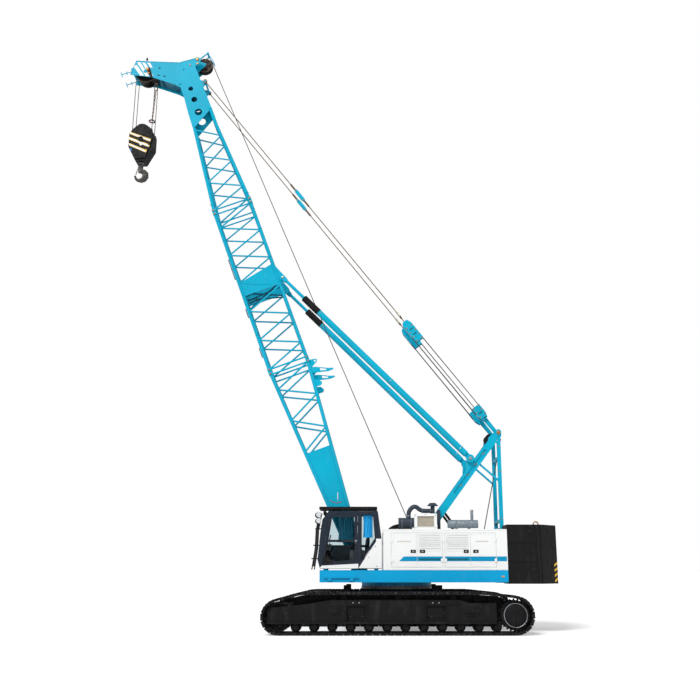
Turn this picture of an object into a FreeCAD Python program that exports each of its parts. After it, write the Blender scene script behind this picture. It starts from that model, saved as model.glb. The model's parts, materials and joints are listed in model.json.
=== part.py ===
"""Dynamic compaction machine on crawler tracks, with a lattice boom.

Millimetres, +Z up, +X to the rear of the machine, -Y on the cab's side.
The origin is on the ground under the middle of the whole machine's length.
"""

import FreeCAD, Part
import Sketcher
import math
import os

doc = FreeCAD.newDocument("DynamicCompactionMachine")
sheet = doc.addObject("Spreadsheet::Sheet", "Sizes")

# ---------------------------------------------------------------- driving dimensions
DRIVING = {
    # where the slewing axis stands behind the origin
    "slew_axis_x": 2556,
    # crawler tracks
    "track_gauge": 4150,
    "shoe_width": 850,
    "shoe_thickness": 40,
    "shoe_pitch": 212,
    "shoe_gap": 22,
    "link_height": 35,
    "idler_x": -3500,
    "idler_shoe_radius": 510,
    "sprocket_x": 3380,
    "sprocket_shoe_radius": 550,
    "track_top": 1200,
    "top_run_front_x": -2800,
    "top_run_rear_x": 2450,
    "wheel_width": 420,
    "hub_radius": 290,
    "hub_length": 90,
    "tooth_count": 24,
    "tooth_height": 42,
    "tooth_width": 60,
    "tooth_length": 90,
    "idler_dish": 60,
    "idler_hub_radius": 130,
    "seat_gap": 0.3,
    # side frames and their rollers
    "side_frame_width": 600,
    "side_frame_top": 980,
    "side_frame_bottom": 345,
    "flange_height": 55,
    "flange_reach": 40,
    "roller_count": 12,
    "first_roller_x": -2990,
    "last_roller_x": 2845,
    "roller_radius": 150,
    "roller_width": 330,
    "pocket_front_x": -1240,
    "pocket_rear_x": 1075,
    "pocket_width": 560,
    "pocket_height": 420,
    "pocket_depth": 60,
    "rim_thickness": 36,
    "rim_reach": 30,
    "fork_reach": 320,
    "fork_gap": 12,
    "fork_shoulder_x": -1970,
    "roller_cap_radius": 95,
    "top_roller_x": -1600,
    "top_roller_pitch": 1600,
    "top_roller_radius": 90,
    # carbody and slewing ring
    "carbody_length": 2300,
    "carbody_width": 2300,
    "carbody_bottom": 520,
    "carbody_top": 1250,
    "axle_beam_length": 620,
    "axle_beam_height": 400,
    "axle_beam_spread": 2700,
    "ring_radius": 1110,
    "ring_bore": 800,
    "ring_height": 100,
    "ring_gap": 0.5,
    # revolving frame
    "deck_half_width": 1650,
    "deck_front_x": -2360,
    "deck_rear_x": 3325,
    "rail_bottom": 1460,
    "deck_top": 1820,
    "rail_thickness": 90,
    "deck_plate": 60,
    "centre_beam_y": 470,
    "centre_beam_thickness": 70,
    # boom foot
    "foot_pin_x": -1180,
    "foot_pin_z": 2000,
    "foot_pin_radius": 55,
    "pin_clearance": 0.5,
    "mount_radius": 60,
    "foot_plate_thickness": 70,
    "ear_thickness": 50,
    "ear_gap": 6,
    "ear_radius": 150,
    "ear_base": 260,
    "ear_base_height": 26,
    # boom
    "boom_angle": 69.7,
    "boom_half_depth": 655,
    "boom_half_width": 590,
    "foot_half_depth": 150,
    "chord_radius": 57,
    "lacing_radius": 30,
    "lacing_pitch": 555,
    "lacing_shift": 66,
    "joint_one": 6840,
    "joint_two": 12940,
    "joint_gap": 0.3,
    "joint_block": 110,
    "joint_block_depth": 66,
    "joint_block_width": 50,
    "plate_top": 3860,
    "side_plate": 16,
    "bracket_bottom": 9660,
    "bracket_front_top": 10150,
    "bracket_rear_top": 10450,
    "head_start": 16430,
    "head_chord_end": 17030,
    "head_half_depth": 390,
    "head_offset": 45,
    "head_half_width": 360,
    "head_plate": 25,
    "head_sheave_radius": 337,
    "head_sheave_back": -1350,
    "head_sheave_along": 19300,
    "sheave_thickness": 60,
    "rear_sheave_radius": 290,
    "rear_sheave_back": 775,
    "rear_sheave_along": 18940,
    "pendant_pin_back": 600,
    "pendant_pin_along": 18100,
    # backstops
    "backstop_y": 760,
    "backstop_pin_back": 815,
    "backstop_pin_along": 9760,
    "backstop_foot_x": 2380,
    "backstop_foot_z": 5300,
    "backstop_tube_radius": 105,
    "backstop_collar_radius": 92,
    "backstop_rod_radius": 55,
    "backstop_tube_length": 7000,
    "backstop_collar_length": 700,
    "backstop_eye_radius": 85,
    # gantry
    "gantry_half_width": 620,
    "gantry_leg_width": 140,
    "gantry_leg_depth": 240,
    "gantry_leg_foot_x": 150,
    "gantry_foot_z": 1900,
    "gantry_top_x": 3330,
    "gantry_top_z": 6150,
    "mast_width": 116,
    "brace_front_x": 2620,
    "brace_rear_z": 4570,
    "gantry_pin_radius": 45,
    "guide_sheave_x": -230,
    "guide_sheave_z": -130,
    "guide_sheave_radius": 150,
    "leg_recess_width": 110,
    "leg_recess_depth": 40,
    # pendants
    "pendant_radius": 16,
    "spreader_distance": 12000,
    "spreader_length": 820,
    "bridle_distance": 620,
    "bridle_length": 520,
    "block_half_depth": 150,
    "block_plate": 25,
    "block_sheave_radius": 142,
    "block_sheave_width": 44,
    # cab
    "cab_width": 935,
    "cab_front_bottom_x": -2350,
    "cab_front_top_x": -2110,
    "cab_rear_x": -490,
    "cab_bottom": 1860,
    "cab_top": 3570,
    "cab_wall": 50,
    "cab_pillar_x": -1215,
    "hinge_reach": 14,
    "guard_gap": 60,
    "guard_height": 80,
    "grab_rail_radius": 18,
    "grab_rail_spread": 75,
    # machinery house
    "house_front_x": -440,
    "house_top": 3030,
    "house_inner_y": 780,
    "house_wall": 45,
    "door_one_x": -200,
    "door_pitch": 812,
    "door_gap": 6,
    "door_bottom": 1900,
    "door_top": 2920,
    # counterweight
    "weight_rear_x": 4940,
    "weight_inset": 30,
    "weight_bottom": 1420,
    "weight_tier_one": 2060,
    "weight_tier_two": 2620,
    "weight_top": 3170,
    "weight_chamfer": 560,
    "weight_recess_x": 3460,
    "weight_recess_y": 720,
    # hook block
    "block_drop": 2700,
    "block_width": 880,
    "block_height": 1450,
    "block_thickness": 560,
    "cheek_plate": 35,
    "hook_shank_radius": 85,
    "hook_bowl_radius": 190,
    "hook_thickness": 170,
    "hook_swell": 42,
    "hook_shank_length": 300,
    # winch
    "drum_x": 120,
    "drum_z": 2690,
    "drum_barrel_radius": 400,
    "drum_flange_radius": 560,
    "drum_half_width": 400,
    "drum_flange": 30,
}

for row, (alias, number) in enumerate(DRIVING.items(), start=1):
    sheet.set(f"A{row}", alias)
    sheet.set(f"B{row}", str(number))
    sheet.setAlias(f"B{row}", alias)
doc.recompute()


class Size:
    """A length or angle worked out from the sheet: its number, and the expression that gives it."""

    def __init__(self, number, text):
        self.number = float(number)
        self.text = text

    def __add__(self, other):
        other = size(other)
        return Size(self.number + other.number, f"({self.text} + {other.text})")

    def __sub__(self, other):
        other = size(other)
        return Size(self.number - other.number, f"({self.text} - {other.text})")

    def __mul__(self, other):
        other = size(other)
        return Size(self.number * other.number, f"({self.text} * {other.text})")

    def __truediv__(self, other):
        other = size(other)
        return Size(self.number / other.number, f"({self.text} / {other.text})")

    def __neg__(self):
        return size(-1) * self

    def __float__(self):
        return self.number

    __radd__ = __add__
    __rmul__ = __mul__

    def __rsub__(self, other):
        return size(other) - self


def size(value):
    """Any number as a Size."""
    return value if isinstance(value, Size) else Size(value, f"({value:.6g})")


class Sizes:
    """The sheet's cells by their aliases: d.shoe_width is the shoe's width."""

    def __getattr__(self, alias):
        return Size(sheet.get(alias), f"Sizes.{alias}")


d = Sizes()


def bind(thing, prop, value):
    """Sets a property from a Size and keeps it tied to the sheet."""
    thing.setExpression(prop, size(value).text)


def vec(x, y, z):
    return FreeCAD.Vector(float(x), float(y), float(z))


# ---------------------------------------------------------------- how the pieces are made
AXES = {"X": vec(1, 0, 0), "Y": vec(0, 1, 0), "Z": vec(0, 0, 1)}


def box(name, x, y, z):
    """A block between two corners; x, y and z are (low, high) pairs."""
    piece = doc.addObject("Part::Box", name)
    for prop, (low, high) in zip(("Length", "Width", "Height"), (x, y, z)):
        bind(piece, prop, size(high) - low)
    for part_of, (low, high) in zip("xyz", (x, y, z)):
        bind(piece, f"Placement.Base.{part_of}", low)
    return piece


def cylinder(name, axis, centre, radius, low, high, sides=0):
    """A round bar along X, Y or Z, or one with flat sides; centre is its place on the two other axes."""
    piece = doc.addObject("Part::Prism" if sides else "Part::Cylinder", name)
    if sides:
        piece.Polygon = sides
    bind(piece, "Circumradius" if sides else "Radius", radius)
    bind(piece, "Height", size(high) - low)
    piece.Placement.Rotation = FreeCAD.Rotation(AXES["Z"], AXES[axis])
    first, second = centre
    base = {"X": (low, first, second), "Y": (first, low, second), "Z": (first, second, low)}[axis]
    for part_of, value in zip("xyz", base):
        bind(piece, f"Placement.Base.{part_of}", value)
    return piece


def hole(name, axis, centre, radius, low, high, sides=16):
    """A bore with flat sides that stand just outside the radius."""
    return cylinder(name, axis, centre, size(radius) / math.cos(math.pi / sides), low, high, sides)


def role(body, name):
    """One of a body's own origin planes."""
    return next(f for f in body.Origin.OriginFeatures if f.Role == name)


def outline(body, name, plane, offset, points):
    """A closed sketch of straight lines with each corner tied to its two sizes."""
    sketch = body.newObject("Sketcher::SketchObject", name)
    sketch.AttachmentSupport = (role(body, plane + "_Plane"), [""])
    sketch.MapMode = "FlatFace"
    bind(sketch, "AttachmentOffset.Base.z", offset)
    count = len(points)
    corners = [vec(p[0], p[1], 0) for p in points]
    for k in range(count):
        sketch.addGeometry(Part.LineSegment(corners[k], corners[(k + 1) % count]), False)
    for k in range(count):
        sketch.addConstraint(Sketcher.Constraint("Coincident", k, 2, (k + 1) % count, 1))
    for k, point in enumerate(points):
        for kind, value in zip(("DistanceX", "DistanceY"), point):
            index = sketch.addConstraint(Sketcher.Constraint(kind, -1, 1, k, 1, float(value)))
            sketch.setExpression(f"Constraints[{index}]", size(value).text)
    return sketch


def prism(name, plane, points, low, high):
    """A body padded from an outline; on plane XZ it runs from y=low to y=high."""
    body = doc.addObject("PartDesign::Body", name)
    low, high = size(low), size(high)
    offset = -high if plane == "XZ" else low
    sketch = outline(body, name + "Outline", plane, offset, points)
    pad = body.newObject("PartDesign::Pad", name + "Pad")
    pad.Profile = sketch
    bind(pad, "Length", high - low)
    body.Tip = pad
    return body


def pocket(body, name, plane, points, low, high):
    """Cuts an outline out of a body; on plane XZ from y=low to y=high."""
    low, high = size(low), size(high)
    offset = -low if plane == "XZ" else high
    sketch = outline(body, name + "Outline", plane, offset, points)
    cut = body.newObject("PartDesign::Pocket", name)
    cut.Profile = sketch
    bind(cut, "Length", high - low)
    body.Tip = cut
    return body


def bar(name, start, end, radius, sides=6):
    """A straight tube member between two points, drawn with a few flats."""
    piece = doc.addObject("Part::Prism", name)
    piece.Polygon = sides
    bind(piece, "Circumradius", radius)
    run = end - start
    piece.Height = run.Length
    piece.Placement = FreeCAD.Placement(start, FreeCAD.Rotation(AXES["Z"], run))
    return piece


def joined(name, pieces):
    """One solid, or several that don't touch, from many."""
    fusion = doc.addObject("Part::MultiFuse", name)
    fusion.Shapes = pieces
    return fusion


def cut(name, base, tools):
    """A piece with others taken out of it."""
    result = doc.addObject("Part::Cut", name)
    result.Base = base
    result.Tool = tools[0] if len(tools) == 1 else joined(name + "Tools", tools)
    return result


NODES = {}


def node(name, piece, placement=None):
    """Names a finished sub-part and stands it in the machine's frame."""
    piece.Label = name
    base = placement or FreeCAD.Placement()
    shift = FreeCAD.Placement(vec(d.slew_axis_x, 0, 0), FreeCAD.Rotation())
    piece.Placement = shift.multiply(base)
    NODES[name] = piece
    return piece


SIDES = (("left", -1), ("right", 1))


def outward(side, near, far):
    """A (low, high) pair from two distances off the machine's middle, near before far, on one side."""
    return (near, far) if side > 0 else (-size(far), -size(near))


# ---------------------------------------------------------------- crawler tracks


def track_path():
    """The line on the chain's back that the shoes are bolted to, as one closed wire."""
    front, rear = float(d.idler_x), float(d.sprocket_x)
    thickness = float(d.shoe_thickness)
    front_radius = float(d.idler_shoe_radius) - thickness
    rear_radius = float(d.sprocket_shoe_radius) - thickness
    front_centre = vec(front, 0, float(d.idler_shoe_radius))
    rear_centre = vec(rear, 0, float(d.sprocket_shoe_radius))
    top = float(d.track_top) - thickness
    top_front = vec(d.top_run_front_x, 0, top)
    top_rear = vec(d.top_run_rear_x, 0, top)

    def touch(centre, radius, point, sign):
        """Where a line from the point touches the wheel's circle, on its upper side."""
        away = point - centre
        reach = math.acos(radius / away.Length)
        angle = math.atan2(away.z, away.x) + sign * reach
        return centre + vec(radius * math.cos(angle), 0, radius * math.sin(angle))

    front_touch = touch(front_centre, front_radius, top_front, 1)
    rear_touch = touch(rear_centre, rear_radius, top_rear, -1)
    front_low = vec(front, 0, thickness)
    rear_low = vec(rear, 0, thickness)
    front_out = front_centre - vec(front_radius, 0, 0)
    rear_out = rear_centre + vec(rear_radius, 0, 0)
    return Part.Wire([
        Part.makeLine(front_low, rear_low),
        Part.Arc(rear_low, rear_out, rear_touch).toShape(),
        Part.makeLine(rear_touch, top_rear),
        Part.makeLine(top_rear, top_front),
        Part.makeLine(top_front, front_touch),
        Part.Arc(front_touch, front_out, front_low).toShape(),
    ])


def track_joints():
    """The shoes' joints, evenly spaced along the path."""
    path = track_path()
    count = round(path.Length / float(d.shoe_pitch))
    points = path.discretize(Number=count + 1)
    return points[:-1]


def track_section():
    """The chain and its shoes from the side: an outer edge with a pad for each shoe, and an inner edge."""
    joints = track_joints()
    count = len(joints)
    outer, inner = [], []
    for k in range(count):
        start, end = joints[k], joints[(k + 1) % count]
        along = (end - start).normalize()
        outward = vec(along.z, 0, -along.x)
        gap = along * (float(d.shoe_gap) / 2)
        rise = outward * float(d.shoe_thickness)
        outer += [start + gap, start + gap + rise, end - gap + rise, end - gap]
        before = (start - joints[k - 1]).normalize()
        mean = (along + before).normalize()
        inner.append(start - vec(mean.z, 0, -mean.x) * float(d.link_height))
    return outer, inner


OUTER, INNER = track_section()


def wheel_radius(x, z):
    """The largest wheel at this centre that stays off the chain."""
    ring = Part.makePolygon(INNER + [INNER[0]])
    return ring.distToShape(Part.Vertex(vec(x, 0, z)))[0] - float(d.seat_gap)


def chain(name, middle):
    """One track: the fixed loop with its shoes."""
    half = float(d.shoe_width) / 2
    outside = Part.Wire(Part.makePolygon(OUTER + [OUTER[0]]))
    inside = Part.Wire(Part.makePolygon(INNER + [INNER[0]]))
    face = Part.makeFace([outside, inside], "Part::FaceMakerBullseye")
    loop = face.extrude(vec(0, 2 * half, 0))
    piece = doc.addObject("Part::Feature", name)
    piece.Shape = loop
    return node(name, piece, FreeCAD.Placement(vec(0, float(middle) - half, 0), FreeCAD.Rotation()))


def revolve(name, profile, centre_x, centre_z, middle):
    """A ring turned about the axle's line; the profile is (radius, offset across the track) pairs."""
    body = doc.addObject("PartDesign::Body", name)
    sketch = outline(body, name + "Outline", "XY", 0, profile)
    turned = body.newObject("PartDesign::Revolution", name + "Turn")
    turned.Profile = sketch
    turned.ReferenceAxis = (sketch, ["V_Axis"])
    turned.Angle = 360
    body.Tip = turned
    for part_of, value in zip("xyz", (centre_x, middle, centre_z)):
        bind(body, f"Placement.Base.{part_of}", value)
    return body


def sprocket(name, middle, side):
    """The drive wheel: a toothed rim, and the final drive's round cover on the outer side."""
    x, z = d.sprocket_x, d.sprocket_shoe_radius
    rim = wheel_radius(x, z)
    half, cover = d.wheel_width / 2, d.hub_length
    root = rim - d.tooth_height
    parts = [cylinder(name + "Disc", "Y", (x, z), root, middle - half, middle + half, sides=48)]
    teeth = []
    count = int(float(d.tooth_count))
    for k in range(count):
        tooth = doc.addObject("Part::Wedge", f"{name}Tooth{k}")
        wide, tip = float(d.tooth_width) / 2, float(d.tooth_width) / 5
        tooth.Xmin, tooth.Xmax = -wide, wide
        tooth.X2min, tooth.X2max = -tip, tip
        tooth.Zmin, tooth.Zmax = -float(d.tooth_length) / 2, float(d.tooth_length) / 2
        tooth.Z2min, tooth.Z2max = tooth.Zmin, tooth.Zmax
        tooth.Ymin, tooth.Ymax = float(root) - 15, rim
        turn = FreeCAD.Rotation(AXES["Y"], 360 / count * k).multiply(FreeCAD.Rotation(AXES["X"], 90))
        tooth.Placement = FreeCAD.Placement(vec(x, middle, z), turn)
        teeth.append(tooth)
    face = side * half
    steps = [(0, face), (d.hub_radius + 45, face), (d.hub_radius + 45, face + side * 18),
             (d.hub_radius, face + side * 18), (d.hub_radius, face + side * (cover - 22)),
             (d.hub_radius - 22, face + side * cover), (0, face + side * cover)]
    parts.append(revolve(name + "Cover", steps, x, z, middle))
    node(name, joined(name, parts + teeth))


def idler(name, middle):
    """The front wheel: a dished disc with a raised hub on both sides."""
    x, z = d.idler_x, d.idler_shoe_radius
    rim = wheel_radius(x, z)
    half, dish = d.wheel_width / 2, d.idler_dish
    disc = cylinder(name + "Disc", "Y", (x, z), rim, middle - half, middle + half, sides=36)
    rim_wall = 60
    dishes = [cylinder(name + "DishLow", "Y", (x, z), rim - rim_wall, middle - half - 1,
                       middle - half + dish, sides=36),
              cylinder(name + "DishHigh", "Y", (x, z), rim - rim_wall, middle + half - dish,
                       middle + half + 1, sides=36)]
    hub = cylinder(name + "Hub", "Y", (x, z), d.idler_hub_radius, middle - half, middle + half, sides=24)
    axle_half = half + d.fork_gap - d.seat_gap
    axle = cylinder(name + "Axle", "Y", (x, z), 60, middle - axle_half, middle + axle_half, sides=16)
    node(name, joined(name, [cut(name + "Wheel", disc, dishes), hub, axle]))


def side_frame(name, middle, side):
    """A track's side frame: the box with its idler fork, flange, pockets, steps and bottom rollers."""
    half = d.side_frame_width / 2
    top, bottom = d.side_frame_top, d.side_frame_bottom
    fork_end = d.idler_x - d.fork_reach
    wheel_rear = d.sprocket_x - d.sprocket_shoe_radius
    points = [
        (fork_end, bottom), (wheel_rear, bottom), (wheel_rear, top - 90), (wheel_rear - 780, top - 90),
        (wheel_rear - 1060, top), (d.fork_shoulder_x, top), (d.fork_shoulder_x - 470, top - 80),
        (d.fork_shoulder_x - 780, top - 120), (d.fork_shoulder_x - 1310, top - 180), (fork_end + 80,
                                                                                      top - 210),
        (fork_end, top - 300),
    ]
    frame = prism(name + "Box", "XZ", points, middle - half, middle + half)
    # the idler turns between the fork's two plates
    opening = d.wheel_width / 2 + d.fork_gap
    fork = [(fork_end - 10, bottom - 10), (d.idler_x + d.idler_shoe_radius, bottom - 10),
            (d.idler_x + d.idler_shoe_radius, top), (fork_end - 10, top)]
    pocket(frame, name + "Fork", "XZ", fork, middle - opening, middle + opening)
    outer = middle + side * half
    for k, x in enumerate((d.pocket_front_x, d.pocket_rear_x)):
        wide, tall = d.pocket_width / 2, d.pocket_height
        base = bottom + d.flange_height
        shape = [(x - wide, base), (x + wide, base), (x + wide, base + tall), (x - wide, base + tall)]
        low, high = (outer - d.pocket_depth, outer) if side > 0 else (outer, outer + d.pocket_depth)
        pocket(frame, f"{name}Pocket{k}", "XZ", shape, low, high)
    reach = half + d.flange_reach
    flange = box(name + "Flange", (fork_end, wheel_rear), (middle - reach, middle + reach),
                 (bottom - d.flange_height / 2, bottom + d.flange_height / 2))
    slot = box(name + "FlangeSlot", (fork_end - 10, d.idler_x + d.idler_shoe_radius),
               (middle - opening, middle + opening), (bottom - d.flange_height, bottom + d.flange_height))
    parts = [frame, cut(name + "FlangeCut", flange, [slot])]
    # a rim round each pocket, and the step bars a person climbs by
    low, high = sorted((float(outer), float(outer + side * d.rim_reach)))
    for k, x in enumerate((d.pocket_front_x, d.pocket_rear_x)):
        for place, shift in (("Front", -1), ("Rear", 1)):
            edge = x + shift * (d.pocket_width / 2 + d.rim_thickness / 2)
            parts.append(box(f"{name}Rim{k}{place}", (edge - d.rim_thickness / 2, edge + d.rim_thickness / 2),
                             (low, high), (bottom, top - 40)))
    for k, (x, z, wide) in enumerate(((1580, 850, 190), (2080, 540, 190))):
        parts.append(box(f"{name}Step{k}", (x - wide, x + wide), (low, high), (z, z + d.rim_thickness)))
    count = int(round(float(d.roller_count)))
    pitch = (d.last_roller_x - d.first_roller_x) / (count - 1)
    floor = d.shoe_thickness + d.link_height + d.seat_gap
    for k in range(count):
        x = d.first_roller_x + pitch * k
        wide = d.roller_width / 2
        centre = (x, floor + d.roller_radius)
        parts.append(cylinder(f"{name}Roller{k}", "Y", centre, d.roller_radius, middle - wide, middle + wide,
                              sides=16))
        parts.append(cylinder(f"{name}RollerCap{k}", "Y", centre, d.roller_cap_radius, middle - half + 20,
                              middle + half - 20, sides=12))
    # the top rollers that carry the upper run
    ceiling = d.track_top - d.shoe_thickness - d.link_height - d.seat_gap
    for k in range(3):
        x = d.top_roller_x + d.top_roller_pitch * k
        centre = (x, ceiling - d.top_roller_radius)
        parts.append(cylinder(f"{name}TopRoller{k}", "Y", centre, d.top_roller_radius,
                              middle - d.roller_width / 2,
                              middle + d.roller_width / 2, sides=12))
    node(name, joined(name, parts))


for word, side in SIDES:
    middle = d.track_gauge / 2 * side
    chain(f"track_{word}", middle)
    sprocket(f"sprocket_{word}", middle, side)
    idler(f"idler_{word}", middle)
    side_frame(f"track_frame_{word}", middle, side)

# ---------------------------------------------------------------- carbody and slewing ring
inner_side = d.track_gauge / 2 - d.side_frame_width / 2 - d.seat_gap
half_length, half_width = d.carbody_length / 2, d.carbody_width / 2
parts = [box("CarbodyBox", (-half_length, half_length), (-half_width, half_width),
             (d.carbody_bottom, d.carbody_top))]
for k, x in enumerate((-d.axle_beam_spread / 2, d.axle_beam_spread / 2)):
    half = d.axle_beam_length / 2
    parts.append(box(f"AxleBeam{k}", (x - half, x + half), (-inner_side, inner_side),
                     (d.carbody_bottom, d.carbody_bottom + d.axle_beam_height)))
# towing lugs that stand on the axle beams beside the ring
for word, side in SIDES:
    for place, x, wide in (("Front", -1555, 170), ("Rear", 1210, 280)):
        parts.append(box(f"TowLug{word}{place}", (x - wide / 2, x + wide / 2),
                         outward(side, size(1300), size(1400)),
                         (d.carbody_bottom + d.axle_beam_height, d.carbody_top + 130)))
node("carbody", joined("carbody", parts))
ring_low = d.carbody_top + d.seat_gap
ring = cylinder("RingBody", "Z", (0, 0), d.ring_radius, ring_low, ring_low + d.ring_height, sides=48)
bore = cylinder("RingBore", "Z", (0, 0), d.ring_bore, ring_low - 10, ring_low + d.ring_height + 10, sides=48)
node("slew_ring", cut("slew_ring", ring, [bore]))

# ---------------------------------------------------------------- revolving frame


def ear(name, low, high):
    """One plate of a boom foot bracket, tapering up to the round end about the pin."""
    x, z, round_end = d.foot_pin_x, d.foot_pin_z, d.ear_radius
    seat = d.deck_top + d.seat_gap
    taper = prism(name + "Plate", "XZ", [(x - d.ear_base, seat), (x + d.ear_base, seat), (x + round_end, z),
                                         (x - round_end, z)], low, high)
    return joined(name, [taper, cylinder(name + "End", "Y", (x, z), round_end, low, high, sides=24)])


front, rear, wide = d.deck_front_x, d.deck_rear_x, d.deck_half_width
cab_outer = -d.deck_half_width
cab_inner = cab_outer + d.cab_width
frame_low = ring_low + d.ring_height + d.ring_gap
parts = [
    box("Deck", (front, rear), (-wide, wide), (d.deck_top - d.deck_plate, d.deck_top)),
    box("RailLeft", (front, rear), (-wide, -wide + d.rail_thickness), (d.rail_bottom, d.deck_top)),
    box("RailRight", (front, rear), (wide - d.rail_thickness, wide), (d.rail_bottom, d.deck_top)),
    box("RailFront", (front, front + d.rail_thickness), (-wide, wide), (d.rail_bottom, d.deck_top)),
    box("RailRear", (rear - d.rail_thickness, rear), (-wide, wide), (d.rail_bottom, d.deck_top)),
    cylinder("UpperRace", "Z", (0, 0), d.ring_radius, frame_low, d.deck_top - d.deck_plate, sides=48),
]
ear_parts = []
ear_outer = d.boom_half_width + d.foot_plate_thickness / 2 + d.ear_gap
ear_inner = d.boom_half_width - d.foot_plate_thickness / 2 - d.ear_gap
for word, side in SIDES:
    low, high = sorted((side * float(d.centre_beam_y),
                        side * float(d.centre_beam_y + d.centre_beam_thickness)))
    parts.append(box(f"CentreBeam{word}", (front, rear), (low, high), (d.rail_bottom, d.deck_top)))
    for place, near, away in (("Out", ear_outer, ear_outer + d.ear_thickness),
                              ("In", ear_inner - d.ear_thickness, ear_inner)):
        low, high = (near, away) if side > 0 else (-away, -near)
        ear_parts.append(ear(f"Ear{place}{word}", low, high))
    low, high = ear_inner - d.ear_thickness, ear_outer + d.ear_thickness
    low, high = (low, high) if side > 0 else (-high, -low)
    ear_parts.append(cylinder(f"FootPin{word}", "Y", (d.foot_pin_x, d.foot_pin_z), d.foot_pin_radius, low,
                              high, sides=24))
    ear_parts.append(box(f"EarBase{word}", (d.foot_pin_x - d.ear_base, d.foot_pin_x + d.ear_base),
                         (low, high),
                         (d.deck_top + d.seat_gap, d.deck_top + d.ear_base_height)))
for word, side in SIDES:
    low, high = sorted((side * float(d.centre_beam_y), side * float(d.gantry_half_width + 85)))
    parts.append(box(f"MastStep{word}", (rear - 240, d.gantry_top_x + 90), (low, high),
                     (d.rail_bottom + 60, d.deck_top)))
    parts.append(box(f"LegStep{word}", (d.gantry_leg_foot_x - 200, d.gantry_leg_foot_x + 200), (low, high),
                     (d.rail_bottom + 60, d.deck_top)))
for k, x in enumerate((d.cab_front_bottom_x + 160, d.cab_rear_x - 160)):
    for word, y in (("Near", cab_outer + 130), ("Far", cab_inner - 130)):
        parts.append(cylinder(f"CabMount{k}{word}", "Z", (x, y), d.mount_radius, d.deck_top - 10,
                              d.cab_bottom - d.seat_gap, sides=12))
# the tread bar below the cab's door, on two brackets
tread_reach = 55
parts.append(box("TreadBar", (-2220, -1190), (-wide - tread_reach, -wide - tread_reach + 20), (1590, 1625)))
for k, x in enumerate((-2060, -1390)):
    parts.append(box(f"TreadBracket{k}", (x - 60, x + 60), (-wide - tread_reach + 5, -wide + 1),
                     (1500, 1600)))
node("revolving_frame", joined("revolving_frame", parts))
node("boom_foot_brackets", joined("boom_foot_brackets", ear_parts))

# ---------------------------------------------------------------- cab
side_points = [
    (d.cab_front_bottom_x, d.cab_bottom), (d.cab_rear_x, d.cab_bottom), (d.cab_rear_x, d.cab_top - 800),
    (d.cab_rear_x - 110, d.cab_top), (d.cab_front_top_x, d.cab_top),
    (d.cab_front_top_x - 190, d.cab_top - 260),
    (d.cab_front_bottom_x - 80, d.cab_bottom + 270),
]
wall = d.cab_wall
shell = prism("CabBox", "XZ", side_points, cab_outer, cab_inner)
room_points = [
    (d.cab_front_bottom_x + wall, d.cab_bottom + wall), (d.cab_rear_x - wall, d.cab_bottom + wall),
    (d.cab_rear_x - wall, d.cab_top - 800), (d.cab_rear_x - 110 - wall, d.cab_top - wall),
    (d.cab_front_top_x + wall / 2, d.cab_top - wall), (d.cab_front_top_x - 190 + wall, d.cab_top - 275),
    (d.cab_front_bottom_x - 80 + wall, d.cab_bottom + 275),
]
pocket(shell, "CabRoom", "XZ", room_points, cab_outer + wall, cab_inner - wall)
door_front, door_rear = d.cab_front_bottom_x + 60, d.cab_pillar_x
door_low, door_high = d.cab_bottom + 100, d.cab_top - 90
lean = 215
doorway = [(door_front, door_low), (door_rear, door_low + 60), (door_rear, door_high),
           (door_front + lean + 70, door_high), (door_front + lean - 60, door_high - 170)]
pocket(shell, "CabDoorway", "XZ", doorway, cab_outer - 1, cab_outer + wall + 1)
quarter = [(d.cab_pillar_x + 105, d.cab_top - 1440), (d.cab_rear_x - 190, d.cab_top - 800),
           (d.cab_rear_x - 250, d.cab_top - 110), (d.cab_pillar_x + 105, d.cab_top - 110)]
pocket(shell, "CabQuarterNear", "XZ", quarter, cab_outer - 1, cab_outer + wall + 1)
far_light = [(door_front + 120, door_low + 620), (door_rear, door_low + 620), (door_rear, door_high),
             (door_front + lean + 40, door_high)]
pocket(shell, "CabFarLight", "XZ", far_light, cab_inner - wall - 1, cab_inner + 1)
pocket(shell, "CabQuarterFar", "XZ", quarter, cab_inner - wall - 1, cab_inner + 1)
inner, outer = cab_inner - 90, cab_outer + 90
front_light = [(outer, d.cab_bottom + 310), (inner, d.cab_bottom + 310), (inner, d.cab_top - 300),
               (outer, d.cab_top - 300)]
pocket(shell, "CabFrontLight", "YZ", front_light, d.cab_front_bottom_x - 90, d.cab_front_bottom_x + 150)
rear_light = [(outer, d.cab_bottom + 420), (inner, d.cab_bottom + 420), (inner, d.cab_top - 860),
              (outer, d.cab_top - 860)]
pocket(shell, "CabRearLight", "YZ", rear_light, d.cab_rear_x - wall - 1, d.cab_rear_x + 1)
node("cab_shell", shell)

leaf_gap = d.door_gap
leaf = [(door_front + leaf_gap, door_low + leaf_gap + 1), (door_rear - leaf_gap, door_low + 61 + leaf_gap),
        (door_rear - leaf_gap, door_high - leaf_gap),
        (door_front + lean + 72 + leaf_gap, door_high - leaf_gap),
        (door_front + lean - 58 + leaf_gap, door_high - 172)]
door = prism("CabDoorLeaf", "XZ", leaf, cab_outer, cab_outer + wall)
upper_glass = [(door_front + 165, door_low + 750), (door_rear - 95, door_low + 750),
               (door_rear - 95, door_high - 85), (door_front + lean + 105, door_high - 85),
               (door_front + lean + 35, door_high - 180)]
lower_glass = [(door_front + 85, door_low + 170), (door_front + 430, door_low + 110),
               (door_rear - 95, door_low + 160),
               (door_rear - 95, door_low + 690), (door_front + 150, door_low + 690)]
pocket(door, "DoorUpperLight", "XZ", upper_glass, cab_outer - 1, cab_outer + wall + 1)
pocket(door, "DoorLowerLight", "XZ", lower_glass, cab_outer - 1, cab_outer + wall + 1)
hinge_x = door_rear
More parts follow.
